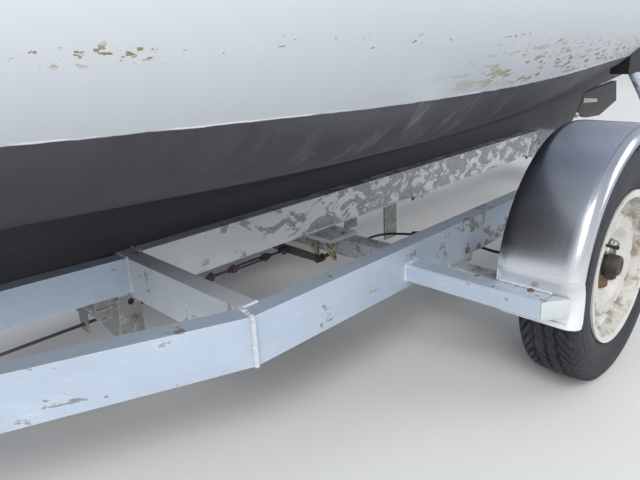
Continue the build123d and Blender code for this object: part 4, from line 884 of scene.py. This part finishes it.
# Stained gussets under the axle saddles, with a pin through each, and beads under the inner rails
saddle = dict(gusset=((0.199, 0.2345), (0.1425, 0.2345), (0.1425, 0.158), (0.152, 0.158),
                      (0.196, 0.216)), thick=0.005, faces=(0.206, 0.128), top=0.2462)
piece, pins, beads = bmesh.new(), bmesh.new(), bmesh.new()
for side in sides:
    for y in saddle["faces"]:
        addPrism(piece, [(at(x), side * y, z) for x, z in saddle["gusset"]],
                 (0, -side * saddle["thick"], 0))
    hexBolt(pins, (at(0.17), side * 0.2065, 0.216), (0, side, 0), 0.011, 0.005)
    for x, y in ((0.186, 0.17), (0.118, 0.216)):
        hexBolt(pins, (at(x), side * y, saddle["top"]), (0, 0, 1), 0.01, 0.004)
    y, z = side * (rails["innerFace"] + 0.0006), rails["innerBottom"] + 0.003
    for x0, x1, seed in ((-0.3, -0.08, 5), (0.082, 0.198, 6)):
        weldBead(beads, (at(x0), y, z), (at(x1), y, z), 0.0036, seed)
finishPiece("saddleGussets", piece, "stainedPlate")
finishPiece("saddlePins", pins, "zincBolt")
finishPiece("railBeads", beads, "weldMetal")

# Clamps on the brake cables, and the ribbed boot where each goes into its wheel
boot = [(0.0046, 0.046)]
for k in range(6, -1, -1):
    boot += [(0.008 - k * 0.0004, 0.006 + k * 0.006), (0.0115 - k * 0.0006, 0.003 + k * 0.006)]
boot.append((0.0046, 0.0))
piece = bmesh.new()
for side in sides:
    for (x, y, z), way in (((-0.15, 0.3, 0.186), (0.0, side, 0.14)),
                           ((-0.15, 0.395, 0.203), (0.05, side, 0.14)),
                           ((-0.062, 0.69, 0.228), (0.0, side, 0.06))):
        matrix = facing((at(x), side * y, z), way)
        addLathe(piece, hoop(0.0043, 0.0085, 0.01), matrix, 16, True)
        addBlock(piece, (0.026, 0.006, 0.016), matrix @ Matrix.Translation((0.012, 0, 0)), 0.001)
    addLathe(piece, [(r, -z) for r, z in boot],
             facing((at(-0.06), side * 0.823, 0.235), (0, side, 0)), 20, True)
finishPiece("cableClamps", piece, "darkSteel")

# Web and flat bar under each inner rail at the kink, its bolt, and the roller behind it
cradle = dict(web=((0.925, 0.2675), (0.832, 0.2675), (0.832, 0.2455), (0.843, 0.146),
                   (0.852, 0.146)), face=0.1165, webThick=0.004, barFace=0.1225)
piece, pins, rollers = bmesh.new(), bmesh.new(), bmesh.new()
for side in sides:
    face = side * cradle["face"]
    addPrism(piece, [(at(x), face, z) for x, z in cradle["web"]],
             (0, -side * cradle["webThick"], 0))
    boxBetween(piece, (at(0.777), face, 0.128), (at(0.84), side * cradle["barFace"], 0.2458),
               0.0012)
    boxBetween(piece, (at(0.792), side * 0.1228, 0.148), (at(0.806), side * 0.1258, 0.172), 0.0012)
    hexBolt(pins, (at(0.8), side * cradle["barFace"], 0.181), (0, side, 0), 0.018, 0.008,
            thread=0.007)
    addLathe(rollers, capped((0.028, 0.0), (0.03, 0.003), (0.03, 0.013), (0.028, 0.016)),
             facing((at(0.872), side * 0.096, 0.2365), (0, side, 0)))
    addLathe(rollers, disc(0.0085, 0.0006), facing((at(0.803), side * cradle["barFace"], 0.23),
                                                   (0, side, 0)), 24)
finishPiece("cradleBrackets", piece, "greyPlate")
finishPiece("cradleBolts", pins, "zincBolt")
finishPiece("cradleRollers", rollers, "blackRubber")
piece = bmesh.new()
for side in sides:
    for u in (0.7, -0.42, -1.37):
        for x in (-0.03, 0.03):
            hexBolt(piece, (at(u + x), side * 0.116, 0.236), (0, 0, -1), 0.013, 0.007, thread=0.006)
    for z in (0.275, 0.335):
        hexBolt(piece, (at(3.808), side * 0.04, z), (1, 0, 0), 0.014, 0.007)
    for x in (-2.065, -2.045):
        hexBolt(piece, (at(x), side * 0.6145, 0.2545), (0, 0, 1), 0.011, 0.004)
finishPiece("frameBolts", piece, "rustyBolt")
print("brake gear dressed")

# Board with the rear lights: ribbed lenses, triangles and the holder of a plate
board = dict(face=-2.116, low=0.15, high=0.212, deep=0.024, ribs=5, firstRib=0.158, ribPitch=0.0115,
             rib=0.006, lenses=(("tailLenses", "redLens", 0.47, 0.568),
                                ("turnLenses", "amberLens", 0.571, 0.628)))
boardX = at(board["face"])
for name, finish, near, far in board["lenses"]:
    piece = bmesh.new()
    for side in sides:
        boxBetween(piece, (boardX - board["deep"], side * near, board["low"]),
                   (boardX + 0.001, side * far, board["high"]), 0.006, 3)
        for k in range(board["ribs"]):
            z = board["firstRib"] + board["ribPitch"] * k
            boxBetween(piece, (boardX - 0.0262, side * (near + 0.006), z),
                       (boardX - 0.023, side * (far - 0.006), z + board["rib"]), 0.0012)
    finishPiece(name, piece, finish)
piece = bmesh.new()
for side in sides:
    addPrism(piece, [(boardX - 0.006, side * y, z) for y,
                     z in ((0.3, 0.14), (0.42, 0.14), (0.36, 0.226))], (0.007, 0, 0))
finishPiece("reflectors", piece, "redLens")
piece = bmesh.new()
boxBetween(piece, (boardX - 0.004, -0.205, 0.128), (boardX + 0.001, 0.205, 0.23), 0.004, 3)
for y in (-0.16, 0.16):
    boxBetween(piece, (boardX - 0.018, y - 0.02, 0.229), (boardX + 0.002, y + 0.02, 0.241), 0.003)
finishPiece("plateHolder", piece, "blackRubber")

# Winch: strap, side wheel and grip; jockey clamp; hitch handle and cover
winch = dict(drum=(at(3.585), 0.95), strapStart=0.031, strapEnd=(at(3.438) + 0.025, 1.066),
             teeth=28, root=0.034, tip=0.041, tooth=0.62)
drumX, drumZ = winch["drum"]
piece = bmesh.new()
start = Vector((drumX, 0, drumZ + winch["strapStart"]))
run = Vector((winch["strapEnd"][0], 0, winch["strapEnd"][1])) - start
addBlock(piece, (0.005, 0.048, run.length), facing(start + run / 2, run), 0.0006, 1)
addLathe(piece, hoop(winch["strapStart"], 0.0375, 0.0235), facing((drumX, 0, drumZ), (0, 1, 0)), 40,
         True)
finishPiece("winchStrap", piece, "strap")
piece = bmesh.new()
teeth = []
for angle in circle(winch["teeth"]):
    teeth += [(winch["root"], angle), (winch["tip"],
                                       angle + 2 * math.pi * winch["tooth"] / winch["teeth"])]
addPrism(piece, [(drumX + r * math.cos(a), -0.0405, drumZ + r * math.sin(a)) for r, a in teeth],
         (0, 0.005, 0))
for side in sides:
    for x, z in ((-0.04, 0.035), (-0.04, -0.035), (-0.002, 0.036)):
        hexBolt(piece, (drumX + x, side * 0.0465, drumZ + z), (0, side, 0), 0.01, 0.005)
finishPiece("winchGear", piece, "zincBolt")
piece = bmesh.new()
addLathe(piece, capped((0.015, 0.0), (0.0175, 0.01), (0.0165, 0.04), (0.0175, 0.068),
                       (0.014, 0.076)), facing((drumX, 0.127, drumZ - 0.188), (0, 1, 0)), 24)
addLathe(piece, capped((0.011, 0.0), (0.013, 0.01), (0.0125, 0.06), (0.0135, 0.078), tip=0.082),
         facing((at(3.744), -0.098, 0.8985), (0, 0, 1)), 20)
finishPiece("crankGrips", piece, "blackRubber")
jockey = dict(x=at(3.62), y=-0.098, screw=0.32)
piece = bmesh.new()
addPin(piece, (jockey["x"] + 0.0545, jockey["y"], jockey["screw"]), (0.0205, 0, 0), 0.007, 14)
addPin(piece, (jockey["x"] + 0.068, jockey["y"], jockey["screw"]), (0, 0.045, 0), 0.006, 14)
for z in (0.288, 0.35):
    addLathe(piece, hoop(0.0245, 0.0335, 0.004), facing((jockey["x"], jockey["y"], z), (0, 0, 1)),
             32, True)
finishPiece("jockeyClamp", piece, "zincBolt")
piece = bmesh.new()
for y in (-0.0145, 0.0145):
    addTube(piece, [(at(x), y, z) for x, z in ((3.83, 0.362), (3.88, 0.384), (3.94, 0.376),
                                               (3.975, 0.352))], 0.006)
addLathe(piece, capped((0.012, 0.0), (0.014, 0.004), (0.012, 0.01)),
         facing((at(3.9), 0, 0.382), (0, 0.2, 1)), 20)
finishPiece("hitchHandle", piece, "darkSteel")
print("winch, jockey and hitch dressed")

# Boat: portlight frames round each window, set on the cabin side
port = dict(places=(-0.23, 0.23, 0.69), height=1.44, halfLength=0.182, halfHeight=0.067,
            corner=0.048, tube=0.00775, screw=[(0.0036, 0.006), (0.0036, 0.0098), (0.0028, 0.011),
                                               (0.0004, 0.0115)])


def aroundPort(side, middle, grow, steps):
    length, height, corner = port["halfLength"] + grow, port["halfHeight"] + grow, port["corner"]
    spots = []
    for turn, (cx, cz) in enumerate(((1, 1), (-1, 1), (-1, -1), (1, -1))):
        for i in range(steps + 1):
            angle = math.pi / 2 * (turn + i / steps)
            u = cx * (length - corner) + corner * math.cos(angle)
            z = cz * (height - corner) + corner * math.sin(angle)
            spots.append(hit("coachroof", (at(middle + u), side * 1.2, port["height"] + z),
                             (0, -side, 0)))
    return spots


piece, screws = bmesh.new(), bmesh.new()
for side in sides:
    for middle in port["places"]:
        ring = [spot + Vector((0, side * 0.002, 0)) for spot in aroundPort(side, middle, 0.0, 9)]
        addTube(piece, ring, port["tube"], closed=True)
        for spot in aroundPort(side, middle, 0.001, 2):
            addLathe(screws, port["screw"], facing(spot + Vector((0, side * 0.0005, 0)),
                                                   (0, side, 0.12)), 10)
finishPiece("portlightFrames", piece, "bronze", sharp=50)
finishPiece("portlightScrews", screws, "stainless")

# Hand rails on the coachroof, wooden bars on shaped feet
rail = dict(low=-0.46, high=0.88, feet=6, lift=0.04, radius=0.0125, steps=40, aft=0.43,
            inward=0.085, foot=[(axisHole, -0.006), (0.034, -0.006), (0.03, 0.004), (0.016, 0.018),
                                (0.0125, 0.03), (0.0125, 0.042)])
steps = rail["steps"]
piece = bmesh.new()
for side in sides:
    line = []
    for i in range(steps + 1):
        u = rail["low"] + (rail["high"] - rail["low"]) * i / steps
        y = side * (rail["aft"] - rail["inward"] * max(0.0, (u - 0.08) / 0.8))
        lift = rail["lift"] * min(1.0, 0.25 + min(i, steps - i) / 2.2)
        line.append((at(u), y, topOf("coachroof", at(u), y) + lift))
    addTube(piece, line, rail["radius"], 16, wave=[0.55, *[1.0] * (steps - 1), 0.55])
    for k in range(rail["feet"]):
        x, y, z = line[int(2 + (steps - 4) * k / (rail["feet"] - 1))]
        addLathe(piece, rail["foot"], Matrix.Translation((x, y, z - rail["lift"]))
                 @ Matrix.Diagonal((1.3, 0.42, 1, 1)), 20)
finishPiece("handRails", piece, "teak", sharp=45)

# Cleats, fairleads and the post on the fore deck
cleat = dict(foot=[(axisHole, 0.0), (0.015, 0.0), (0.01, 0.014), (0.0085, 0.03), (axisHole, 0.034)],
             horn=((-1, 0.45), (-0.85, 0.75), (-0.6, 0.92), (-0.3, 1.0), (0, 1.05), (0.3, 1.0),
                   (0.6, 0.92), (0.85, 0.75), (1, 0.45)),
             jaw=((0.04, 0.005), (0.044, 0.02), (0.034, 0.034), (0.012, 0.038)), base=(0, 0, 0.003))


def addCleat(piece, x, y, z, turn, size=1.0, up=(0, 0, 1)):
    matrix = facing((x, y, z), up) @ Matrix.Rotation(turn, 4, "Z") @ Matrix.Scale(size, 4)
    addBlock(piece, (0.11, 0.034, 0.008), matrix @ Matrix.Translation(cleat["base"]), 0.003)
    for way in sides:
        addLathe(piece, cleat["foot"], matrix @ Matrix.Translation((way * 0.026, 0, 0.005)), 16)
        hexBolt(piece, matrix @ Vector((way * 0.046, 0, 0.0068)), matrix.to_3x3()
                @ Vector((0, 0, 1)), 0.009 * size, 0.003 * size, washer=False)
    horn = [matrix @ Vector((t * 0.1, 0, 0.036 + 0.01 * abs(t) ** 1.6)) for t,
            width in cleat["horn"]]
    addTube(piece, horn, 0.0105 * size, 14, wave=[width for t, width in cleat["horn"]])


piece = bmesh.new()
for side in sides:
    for u, y, turn in ((2.85, 0.33, -0.25), (-3.1, 0.42, 0.12), (-0.3, 0.88, 0.02)):
        addCleat(piece, at(u), side * y, topOf("deck", at(u), side * y), side * turn)
    for u, y, turn in ((3.33, 0.19, -0.5), (-3.7, 0.33, 0.3)):
        z = topOf("deck", at(u), side * y)
        matrix = Matrix.Translation((at(u), side * y, z)) @ Matrix.Rotation(side * turn, 4, "Z")
        addBlock(piece, (0.105, 0.026, 0.008), matrix @ Matrix.Translation(cleat["base"]), 0.003)
        for way in sides:
            addTube(piece, [matrix @ Vector((way * x, 0, z)) for x, z in cleat["jaw"]], 0.0085,
                    wave=(1.2, 1.0, 0.95, 0.7))
finishPiece("cleats", piece, "bronze", sharp=45)
post = dict(x=at(2.78), blocks=((0.09, 0.014, 0.005, 0.004, 2), (0.064, 0.2, 0.105, 0.006, 3),
                                 (0.07, 0.02, 0.203, 0.008, 3)))
postFoot = topOf("deck", post["x"], 0)
piece = bmesh.new()
for width, height, z, bevel, segments in post["blocks"]:
    addBlock(piece, (width, width, height), Matrix.Translation((post["x"], 0, postFoot + z)), bevel,
             segments)
finishPiece("samsonPost", piece, "varnish")
piece = bmesh.new()
addPin(piece, (post["x"], 0, postFoot + 0.13), (0, 0.085, 0), 0.0085, 16)
vent = capped((0.058, 0.0), (0.058, 0.006), (0.04, 0.012), (0.038, 0.03), (0.066, 0.033),
              (0.066, 0.04), (0.048, 0.056), (0.022, 0.064), tip=0.066)
for x, y in ((at(1.02), 0.19), (at(1.02), -0.19)):
    addLathe(piece, vent, Matrix.Translation((x, y, topOf("coachroof", x, y) - 0.003)), 40)
finishPiece("mushroomVents", piece, "bronze", sharp=40)

# Sheet winches outside the coamings, with their pads
sheetWinch = dict(x=at(-1.3), y=0.6, pad=0.028,
                  drum=capped((0.052, 0.0), (0.052, 0.006), (0.044, 0.01), (0.034, 0.024),
                              (0.031, 0.04), (0.0315, 0.058), (0.036, 0.07), (0.042, 0.076),
                              (0.042, 0.084), (0.034, 0.088), (0.03, 0.096), (0.012, 0.098),
                              (0.011, 0.092)))
piece, pads = bmesh.new(), bmesh.new()
for side in sides:
    x, y = sheetWinch["x"], side * sheetWinch["y"]
    z = topOf("deck", x, y)
    addLathe(pads, capped((0.064, -0.012), (0.06, sheetWinch["pad"])),
             Matrix.Translation((x, y, z)), 40)
    addLathe(piece, sheetWinch["drum"], Matrix.Translation((x, y, z + sheetWinch["pad"])), 48)
finishPiece("winchPads", pads, "varnish")
finishPiece("sheetWinches", piece, "bronze", sharp=40)
print("deck gear made")


# Teak slats on the seats and a grating on the sole of the cockpit

def addSlats(piece, middles, half, ends, heights, bevel):
    for y in middles:
        boxBetween(piece, (at(ends[0]), y - half, heights[0]), (at(ends[1]), y + half, heights[1]),
                   bevel, 1)


slats = dict(seat=(1.0202, 1.029), sole=(0.7402, 0.749), bars=(0.7402, 0.7465), half=0.021,
             step=0.049, first=0.262, seats=((-1.21, -0.6), (-2.56, -2.195)), barStep=0.0815,
             barHalf=0.012)
piece = bmesh.new()
for side in sides:
    for y in (side * (slats["first"] + slats["step"] * k) for k in range(5)):
        for ends in slats["seats"]:
            edge = 0.545 - 0.175 * (abs(ends[0]) - 0.575) / 2.125 - 0.015
            if abs(y) + slats["half"] <= edge:
                addSlats(piece, [y], slats["half"], ends, slats["seat"], 0.0018)
addSlats(piece, [0.047 * k for k in range(-4, 5)], 0.016, (-2.38, -0.64), slats["sole"], 0.0015)
for k in range(22):
    u = -2.365 + slats["barStep"] * k
    addSlats(piece, [0.0], 0.204, (u - slats["barHalf"], u + slats["barHalf"]), slats["bars"],
             0.001)
finishPiece("cockpitSlats", piece, "teak")
for side in sides:
    body, label = "locker_lid_" + sideName(side).lower(), sideName(side)
    piece = bmesh.new()
    addSlats(piece, [side * (0.285 + 0.045 * k) for k in range(3)], 0.018, (-2.15, -1.25),
             (1.0381, 1.044), 0.0015)
    finishPiece("lidSlats" + label, piece, "teak", body)
    piece = bmesh.new()
    for x in (at(-2.00), at(-1.4)):
        addPin(piece, (x, side * 0.3985, 1.0405), (0.035, 0, 0), 0.0045)
        boxBetween(piece, (x - 0.034, side * 0.368, 1.0435), (x + 0.034, side * 0.397, 1.0458),
                   0.0006, 1)
    finishPiece("lidHinges" + label, piece, "bronze", body)

# Handles, hinges and hasp of the hatches
handle = dict(half=0.06, rise=0.032, radius=0.0065, foot=capped((0.015, -0.001), (0.013, 0.004)),
              steps=(-1, -0.98, -0.9, -0.75, -0.5, 0, 0.5, 0.75, 0.9, 0.98, 1))


def addHandle(piece, x, z):
    addTube(piece, [(x, t * handle["half"], z + handle["rise"] * min(1.0, (1 - abs(t)) * 6))
                    for t in handle["steps"]], handle["radius"])
    for t in (-1, 1):
        addLathe(piece, handle["foot"], Matrix.Translation((x, t * handle["half"], z)), 18)


piece = bmesh.new()
addHandle(piece, at(-0.5), 1.6385)
finishPiece("slideHandle", piece, "bronze", "sliding_hatch")
piece = bmesh.new()
addSlats(piece, [0.078 * k for k in range(-3, 4)], 0.034, (-0.54, 0.055), (1.6375, 1.6405), 0.0012)
finishPiece("slidePlanks", piece, "teak", "sliding_hatch")
piece = bmesh.new()
addHandle(piece, at(2.545), 1.5712)
for y in (0.12, -0.12):
    addPin(piece, (at(2.183), y, 1.5735), (0, 0.03, 0), 0.005)
    boxBetween(piece, (at(2.186), y - 0.028, 1.5708), (at(2.24), y + 0.028, 1.5732), 0.0006, 1)
finishPiece("forehatchHardware", piece, "bronze", "forehatch_lid")
piece = bmesh.new()
addSlats(piece, [0.076 * k for k in range(-2, 3)], 0.033, (2.25, 2.52), (1.5705, 1.5735), 0.0012)
finishPiece("forehatchPlanks", piece, "teak", "forehatch_lid")
piece = bmesh.new()
haspX = hit("washboards", (at(-1.2), 0.0, 1.47), (1, 0, 0)).x
boxBetween(piece, (haspX - 0.004, -0.018, 1.44), (haspX + 0.001, 0.018, 1.53), 0.001, 1)
addTube(piece, [(haspX + x, y, 1.47) for x, y in ((-0.003, -0.01), (-0.022, -0.008),
                                                  (-0.022, 0.008), (-0.003, 0.01))], 0.0035, 10)
boxBetween(piece, (haspX - 0.026, -0.017, 1.425), (haspX - 0.012, 0.017, 1.462), 0.004, 3)
finishPiece("hasp", piece, "bronze")
print("hatches and cockpit dressed")

# Masthead crane, tangs, halyards down the fore side of the mast, and their cleats
mast = dict(x=at(1.66), capTop=6.1195, sheave=(0.062, 6.12), bands=((5.52, 0.0445), (5.58, 0.044)),
            turns=4, coils=7, cap=[(0.0355, -0.034), (0.038, -0.03), (0.038, 0.006), (0.034, 0.018),
                                   (0.02, 0.028), (axisHole, 0.03)])
mastX, (sheaveX, sheaveZ) = mast["x"], mast["sheave"]
piece = bmesh.new()
addLathe(piece, mast["cap"], Matrix.Translation((mastX, 0, mast["capTop"])))
for way in sides:
    for y in (-0.02, 0.016):
        boxBetween(piece, (mastX - way * 0.01, y, 6.108), (mastX + way * 0.078, y + 0.004, 6.146),
                   0.002, 1)
    addPin(piece, (mastX + way * sheaveX, 0, sheaveZ), (0, 0.022, 0), 0.004, 10)
for z, r in mast["bands"]:
    addLathe(piece, hoop(r - 0.002, r + 0.0035, 0.01), Matrix.Translation((mastX, 0, z)), 36, True)
for side in sides:
    addBlock(piece, (0.026, 0.004, 0.12), Matrix.Translation((mastX - 0.004, side * 0.047, 5.535)),
             0.001, 1)
    hexBolt(piece, (mastX - 0.004, side * 0.049, 5.55), (0, side, 0), 0.012, 0.005)
addLathe(piece, capped((0.014, -0.008), (0.01, 0.0), (0.014, 0.008)),
         facing((mastX + sheaveX, 0, sheaveZ), (0, 1, 0)), 24)
for side, z in ((-1, 1.72), (1, 1.62)):
    addCleat(piece, mastX + 0.048, side * 0.018, z, math.pi / 2, 0.85, (1, side * 0.35, 0))
finishPiece("mastFittings", piece, "stainless", sharp=45)
piece = bmesh.new()
for side, foot in ((1, 1.65), (-1, 1.75)):
    addTube(piece, [(mastX + x, side * y, z) for x, y,
                    z in ((0.074, 0.012, 6.116), (0.0885, 0.014, 1.985), (0.089, 0.014, 1.94),
                          (0.084, 0.016, foot))], 0.0045, 10)
    base = Vector((mastX + 0.07, side * 0.022, foot - 0.03))
    for turn in range(mast["turns"]):
        addTube(piece, [base + Vector((0.01 + 0.0025 * turn,
                                       0.008 * math.sin(angle * 2) + 0.012 * math.sin(angle),
                                       0.046 * math.cos(angle))) for angle in circle(20)], 0.0042,
                8, closed=True)
    coil = Vector((mastX + 0.088, side * 0.03, foot - 0.14))
    for turn in range(mast["coils"]):
        addTube(piece, [coil + Vector((0.006 * math.cos(angle * 3 + turn) + 0.003 * turn - 0.01,
                                       (0.038 + 0.003 * turn) * math.sin(angle),
                                       0.11 * math.cos(angle) + 0.006 * (turn % 3)))
                        for angle in circle(28)], 0.0043, 8, closed=True)
finishPiece("halyards", piece, "rope", sharp=60)

# Boom and gaff: leather on the jaws, ties round both spars, and the sheet in a coil
spars = dict(boomZ=2.000, boomR=0.038, gaffZ=2.078, gaffR=0.03, taper=0.006, boomLength=4.15,
             gaffLength=2.9, ties=(0.5, 0.98, 1.46, 1.94, 2.42, 2.74), slack=0.0025, turns=4,
             pitch=0.0085, knot=[(axisHole, -0.011), (0.009, -0.008), (0.012, 0.0), (0.009, 0.008),
                                 (axisHole, 0.011)],
             tail=((0.022, 0.008, -0.01), (0.028, 0.01, -0.04), (0.032, 0.008, -0.085)), jaw=0.0835,
             leathers=15)
middle, apart = (spars["boomZ"] + spars["gaffZ"]) / 2, (spars["gaffZ"] - spars["boomZ"]) / 2
piece = bmesh.new()
for number, back in enumerate(spars["ties"]):
    low = spars["boomR"] - spars["taper"] * back / spars["boomLength"] + spars["slack"]
    high = spars["gaffR"] - spars["taper"] * back / spars["gaffLength"] + spars["slack"]
    for turn in range(spars["turns"]):
        x = mastX - back + (turn - 1.5) * spars["pitch"]
        loop = []
        for angle in circle(48):
            rise = math.sin(angle)
            reach = (low if rise < 0 else high) + apart * abs(rise)
            loop.append((x + 0.002 * math.sin(angle + number), reach * math.cos(angle),
                         middle + reach * rise))
        addTube(piece, loop, 0.0042, 8, closed=True)
    knot = Vector((mastX - back, low + 0.001, spars["boomZ"] + 0.018))
    addLathe(piece, spars["knot"], facing(knot, (0.6, 0.2, 1)), 12)
    for way in sides:
        addTube(piece, [knot, *[knot + Vector((way * x, y, z)) for x, y, z in spars["tail"]]],
                0.004, 8)
finishPiece("gaffTies", piece, "rope", "boom", 60)
piece = bmesh.new()
for z in (spars["boomZ"], spars["gaffZ"]):
    for k in range(spars["leathers"]):
        angle = math.radians(104 + 152 * k / (spars["leathers"] - 1))
        y, x = spars["jaw"] * math.sin(angle), spars["jaw"] * math.cos(angle)
        addBlock(piece, (0.004, 0.0175, 0.0365),
                 Matrix.Translation((mastX + x, y, z)) @ Matrix.Rotation(angle, 4, "Z"), 0.0012, 1)
finishPiece("jawLeather", piece, "leather", "boom")
sheet = dict(x=mastX - 3.55, blocks=(1.905, 1.755), cheek=0.013, rope=0.022, coil=(0.3, 0.03, 1.86),
             turns=9, sling=((-0.036, 2.000), (-0.038, 1.975), (0, 1.938), (0.038, 1.975),
                             (0.036, 2.000)))
blockX = sheet["x"]
piece = bmesh.new()
addTube(piece, [(blockX, y, z) for y, z in sheet["sling"]], 0.0048, 10)
for z in sheet["blocks"]:
    for y in (-sheet["cheek"], sheet["cheek"]):
        addLathe(piece, capped((0.026, -0.0025), (0.03, 0.0), (0.026, 0.0025)),
                 facing((blockX, y, z), (0, 1, 0)) @ Matrix.Diagonal((1.0, 1.32, 1, 1)), 28)
    addLathe(piece, capped((0.024, -0.009), (0.019, 0.0), (0.024, 0.009)),
             facing((blockX, 0, z), (0, 1, 0)), 28)
    addPin(piece, (blockX, 0, z), (0, 0.018, 0), 0.005, 10)
addTube(piece, [(blockX, 0, 1.94), (blockX, 0, 1.93)], 0.006, 10)
finishPiece("sheetBlocks", piece, "bronze", "boom", 45)
piece = bmesh.new()
for y in (-0.004, 0.004):
    for x in (blockX + sheet["rope"], blockX - sheet["rope"]):
        addTube(piece, [(x, y, z) for z in sheet["blocks"]], 0.004, 8)
coil = Vector(sheet["coil"]) + Vector((blockX, 0, 0))
for turn in range(sheet["turns"]):
    addTube(piece, [coil + Vector(((0.07 + 0.004 * turn) * math.sin(angle),
                                   0.01 * math.cos(angle * 2 + turn) - 0.004 * turn,
                                   0.15 * math.cos(angle) + 0.01 * math.sin(turn * 1.7)))
                    for angle in circle(32)], 0.0048, 8, closed=True)
addTube(piece, [coil + Vector((0, y, z)) for y, z in ((0.012, 0.135), (0.02, 0.18), (-0.03, 0.187),
                                                      (-0.05, 0.15), (-0.03, 0.12))], 0.0046, 8)
finishPiece("sheetCoil", piece, "rope", "boom", 60)
print("rig dressed")

# Straps of the rudder with their rivets, and a metal band along each rubbing strake
strap = dict(slant=math.radians(36), heel=(at(-2.2), 0, 0.352), places=(0.075, 0.2), face=0.0174,
             thick=0.0035, reach=(-0.23, 0, -0.02), rivets=(0.25, 0.55, 0.88))
way = Vector((-math.sin(strap["slant"]), 0, math.cos(strap["slant"])))
piece = bmesh.new()
for up in strap["places"]:
    spot = Vector(strap["heel"]) + way * up
    back = spot + Vector(strap["reach"])
    for side in sides:
        y = side * strap["face"]
        addPrism(piece, [spot + Vector((-0.012, y, -0.014)), spot + Vector((-0.012, y, 0.014)),
                         back + Vector((0, y, 0.01)), back + Vector((0, y, -0.01))],
                 (0, side * strap["thick"], 0))
        for share in strap["rivets"]:
            addLathe(piece, [(0.0058, 0.0), (0.004, 0.002), (axisHole, 0.0025)],
                     facing(spot.lerp(back, share) + Vector((0, side * 0.0208, 0)), (0, side, 0)),
                     12)
finishPiece("rudderStraps", piece, "bronze", "rudder")
strake = dict(low=-3.95, length=7.28, steps=150, below=0.022, sunk=0.0058, radius=0.0065,
              stations=((-3.965, 1.29), (-3.2, 1.262), (-2.3, 1.25), (-1.1, 1.25), (-0.1, 1.265),
                        (0.7, 1.3), (1.5, 1.37), (2.28, 1.45), (2.93, 1.53), (3.35, 1.6)))
piece = bmesh.new()
for side in sides:
    line = []
    for u in (strake["low"] + strake["length"] * i / strake["steps"]
              for i in range(strake["steps"] + 1)):
        (u0, z0), (u1, z1) = next(pair for pair in zip(strake["stations"], strake["stations"][1:])
                                  if u <= pair[1][0])
        z = z0 + (u - u0) / (u1 - u0) * (z1 - z0) - strake["below"]
        spot = hit("rubbing_strakes", (at(u), side * 1.4, z), (0, -side, 0))
        if spot is not None:
            line.append(spot + Vector((0, -side * strake["sunk"], 0)))
    addTube(piece, line, strake["radius"], 10)
finishPiece("strakeBand", piece, "bronze", sharp=60)
print("boat dressed")

# Floor, light and camera
stage = dict(floor=(0.8, 0.8, 0.79, 1), size=60, top=(0.86, 0.9, 0.96, 1), low=(0.62, 0.6, 0.57, 1),
             back=(0.93, 0.94, 0.95, 1), ramp=(0.44, 0.62), sky=0.62)
reach = stage["size"]
floorMesh = bpy.data.meshes.new("floor")
floorMesh.from_pydata([(-reach, -reach, 0), (reach, -reach, 0), (reach, reach, 0),
                       (-reach, reach, 0)], [], [(0, 1, 2, 3)])
floor = bpy.data.objects.new("floor", floorMesh)
bpy.context.scene.collection.objects.link(floor)
startFinish("floorFinish", Base_Color=stage["floor"], Roughness=0.85)
floorMesh.materials.append(work["material"])

# the camera, reflections and clear parts see a plain backdrop, all else is lit by a soft sky
world = bpy.data.worlds.new("studio")
bpy.context.scene.world = world
world.use_nodes = True
work["tree"] = world.node_tree
world.node_tree.nodes.clear()
upward = put("ShaderNodeSeparateXYZ",
             {0: put("ShaderNodeTexCoord").outputs["Generated"]}).outputs["Z"]
height = put("ShaderNodeMath", {0: upward, 1: 0.5, 2: 0.5}, operation="MULTIPLY_ADD").outputs[0]
ramp = put("ShaderNodeValToRGB", {0: height})
for stop, position, color in zip(ramp.color_ramp.elements, stage["ramp"],
                                 (stage["low"], stage["top"])):
    stop.position, stop.color = position, color
sky = put("ShaderNodeBackground", {"Color": ramp.outputs[0], "Strength": stage["sky"]}).outputs[0]
plain = put("ShaderNodeBackground", {"Color": stage["back"], "Strength": 1.0}).outputs[0]
rays = put("ShaderNodeLightPath").outputs
seen = either(either(rays["Is Camera Ray"], rays["Is Glossy Ray"]), rays["Is Transmission Ray"])
put("ShaderNodeOutputWorld", {"Surface": put("ShaderNodeMixShader",
                                             {0: seen, 1: sky, 2: plain}).outputs[0]})


def addLamp(name, place, target, size, watts, color):
    lamp = bpy.data.lights.new(name, "AREA")
    lamp.shape = "RECTANGLE"
    lamp.size, lamp.size_y = size
    lamp.energy, lamp.color = watts, color
    made = bpy.data.objects.new(name, lamp)
    made.location = place
    made.rotation_euler = (Vector(target) - Vector(place)).to_track_quat("-Z", "Y").to_euler()
    bpy.context.scene.collection.objects.link(made)


addLamp("keyLamp", (7.5, 6.0, 7.0), (0, 0, 0.6), (6.0, 6.0), 900, (1.0, 0.985, 0.96))
addLamp("fillLamp", (-6.0, 7.5, 3.5), (0, 0, 0.8), (5.0, 5.0), 260, (0.92, 0.96, 1.0))
addLamp("farLamp", (-3.0, -8.5, 6.0), (0, 0, 1.0), (6.0, 5.0), 420, (0.96, 0.98, 1.0))

view = dict(place=(1.3585, 1.393, 0.817), right=(-0.7035, 0.7091, -0.048),
            up=(-0.2636, -0.1976, 0.9442), lens=32.06)
right, up = Vector(view["right"]).normalized(), Vector(view["up"])
up = (up - right * up.dot(right)).normalized()
camera = bpy.data.cameras.new("camera")
camera.lens, camera.sensor_width, camera.clip_start = view["lens"], 36, 0.02
cameraObject = bpy.data.objects.new("camera", camera)
bpy.context.scene.collection.objects.link(cameraObject)
turned = Matrix((right, up, right.cross(up))).transposed().to_4x4()
cameraObject.matrix_world = Matrix.Translation(view["place"]) @ turned
bpy.context.scene.camera = cameraObject
bpy.context.scene.view_settings.view_transform = "Standard"
print("stage set")
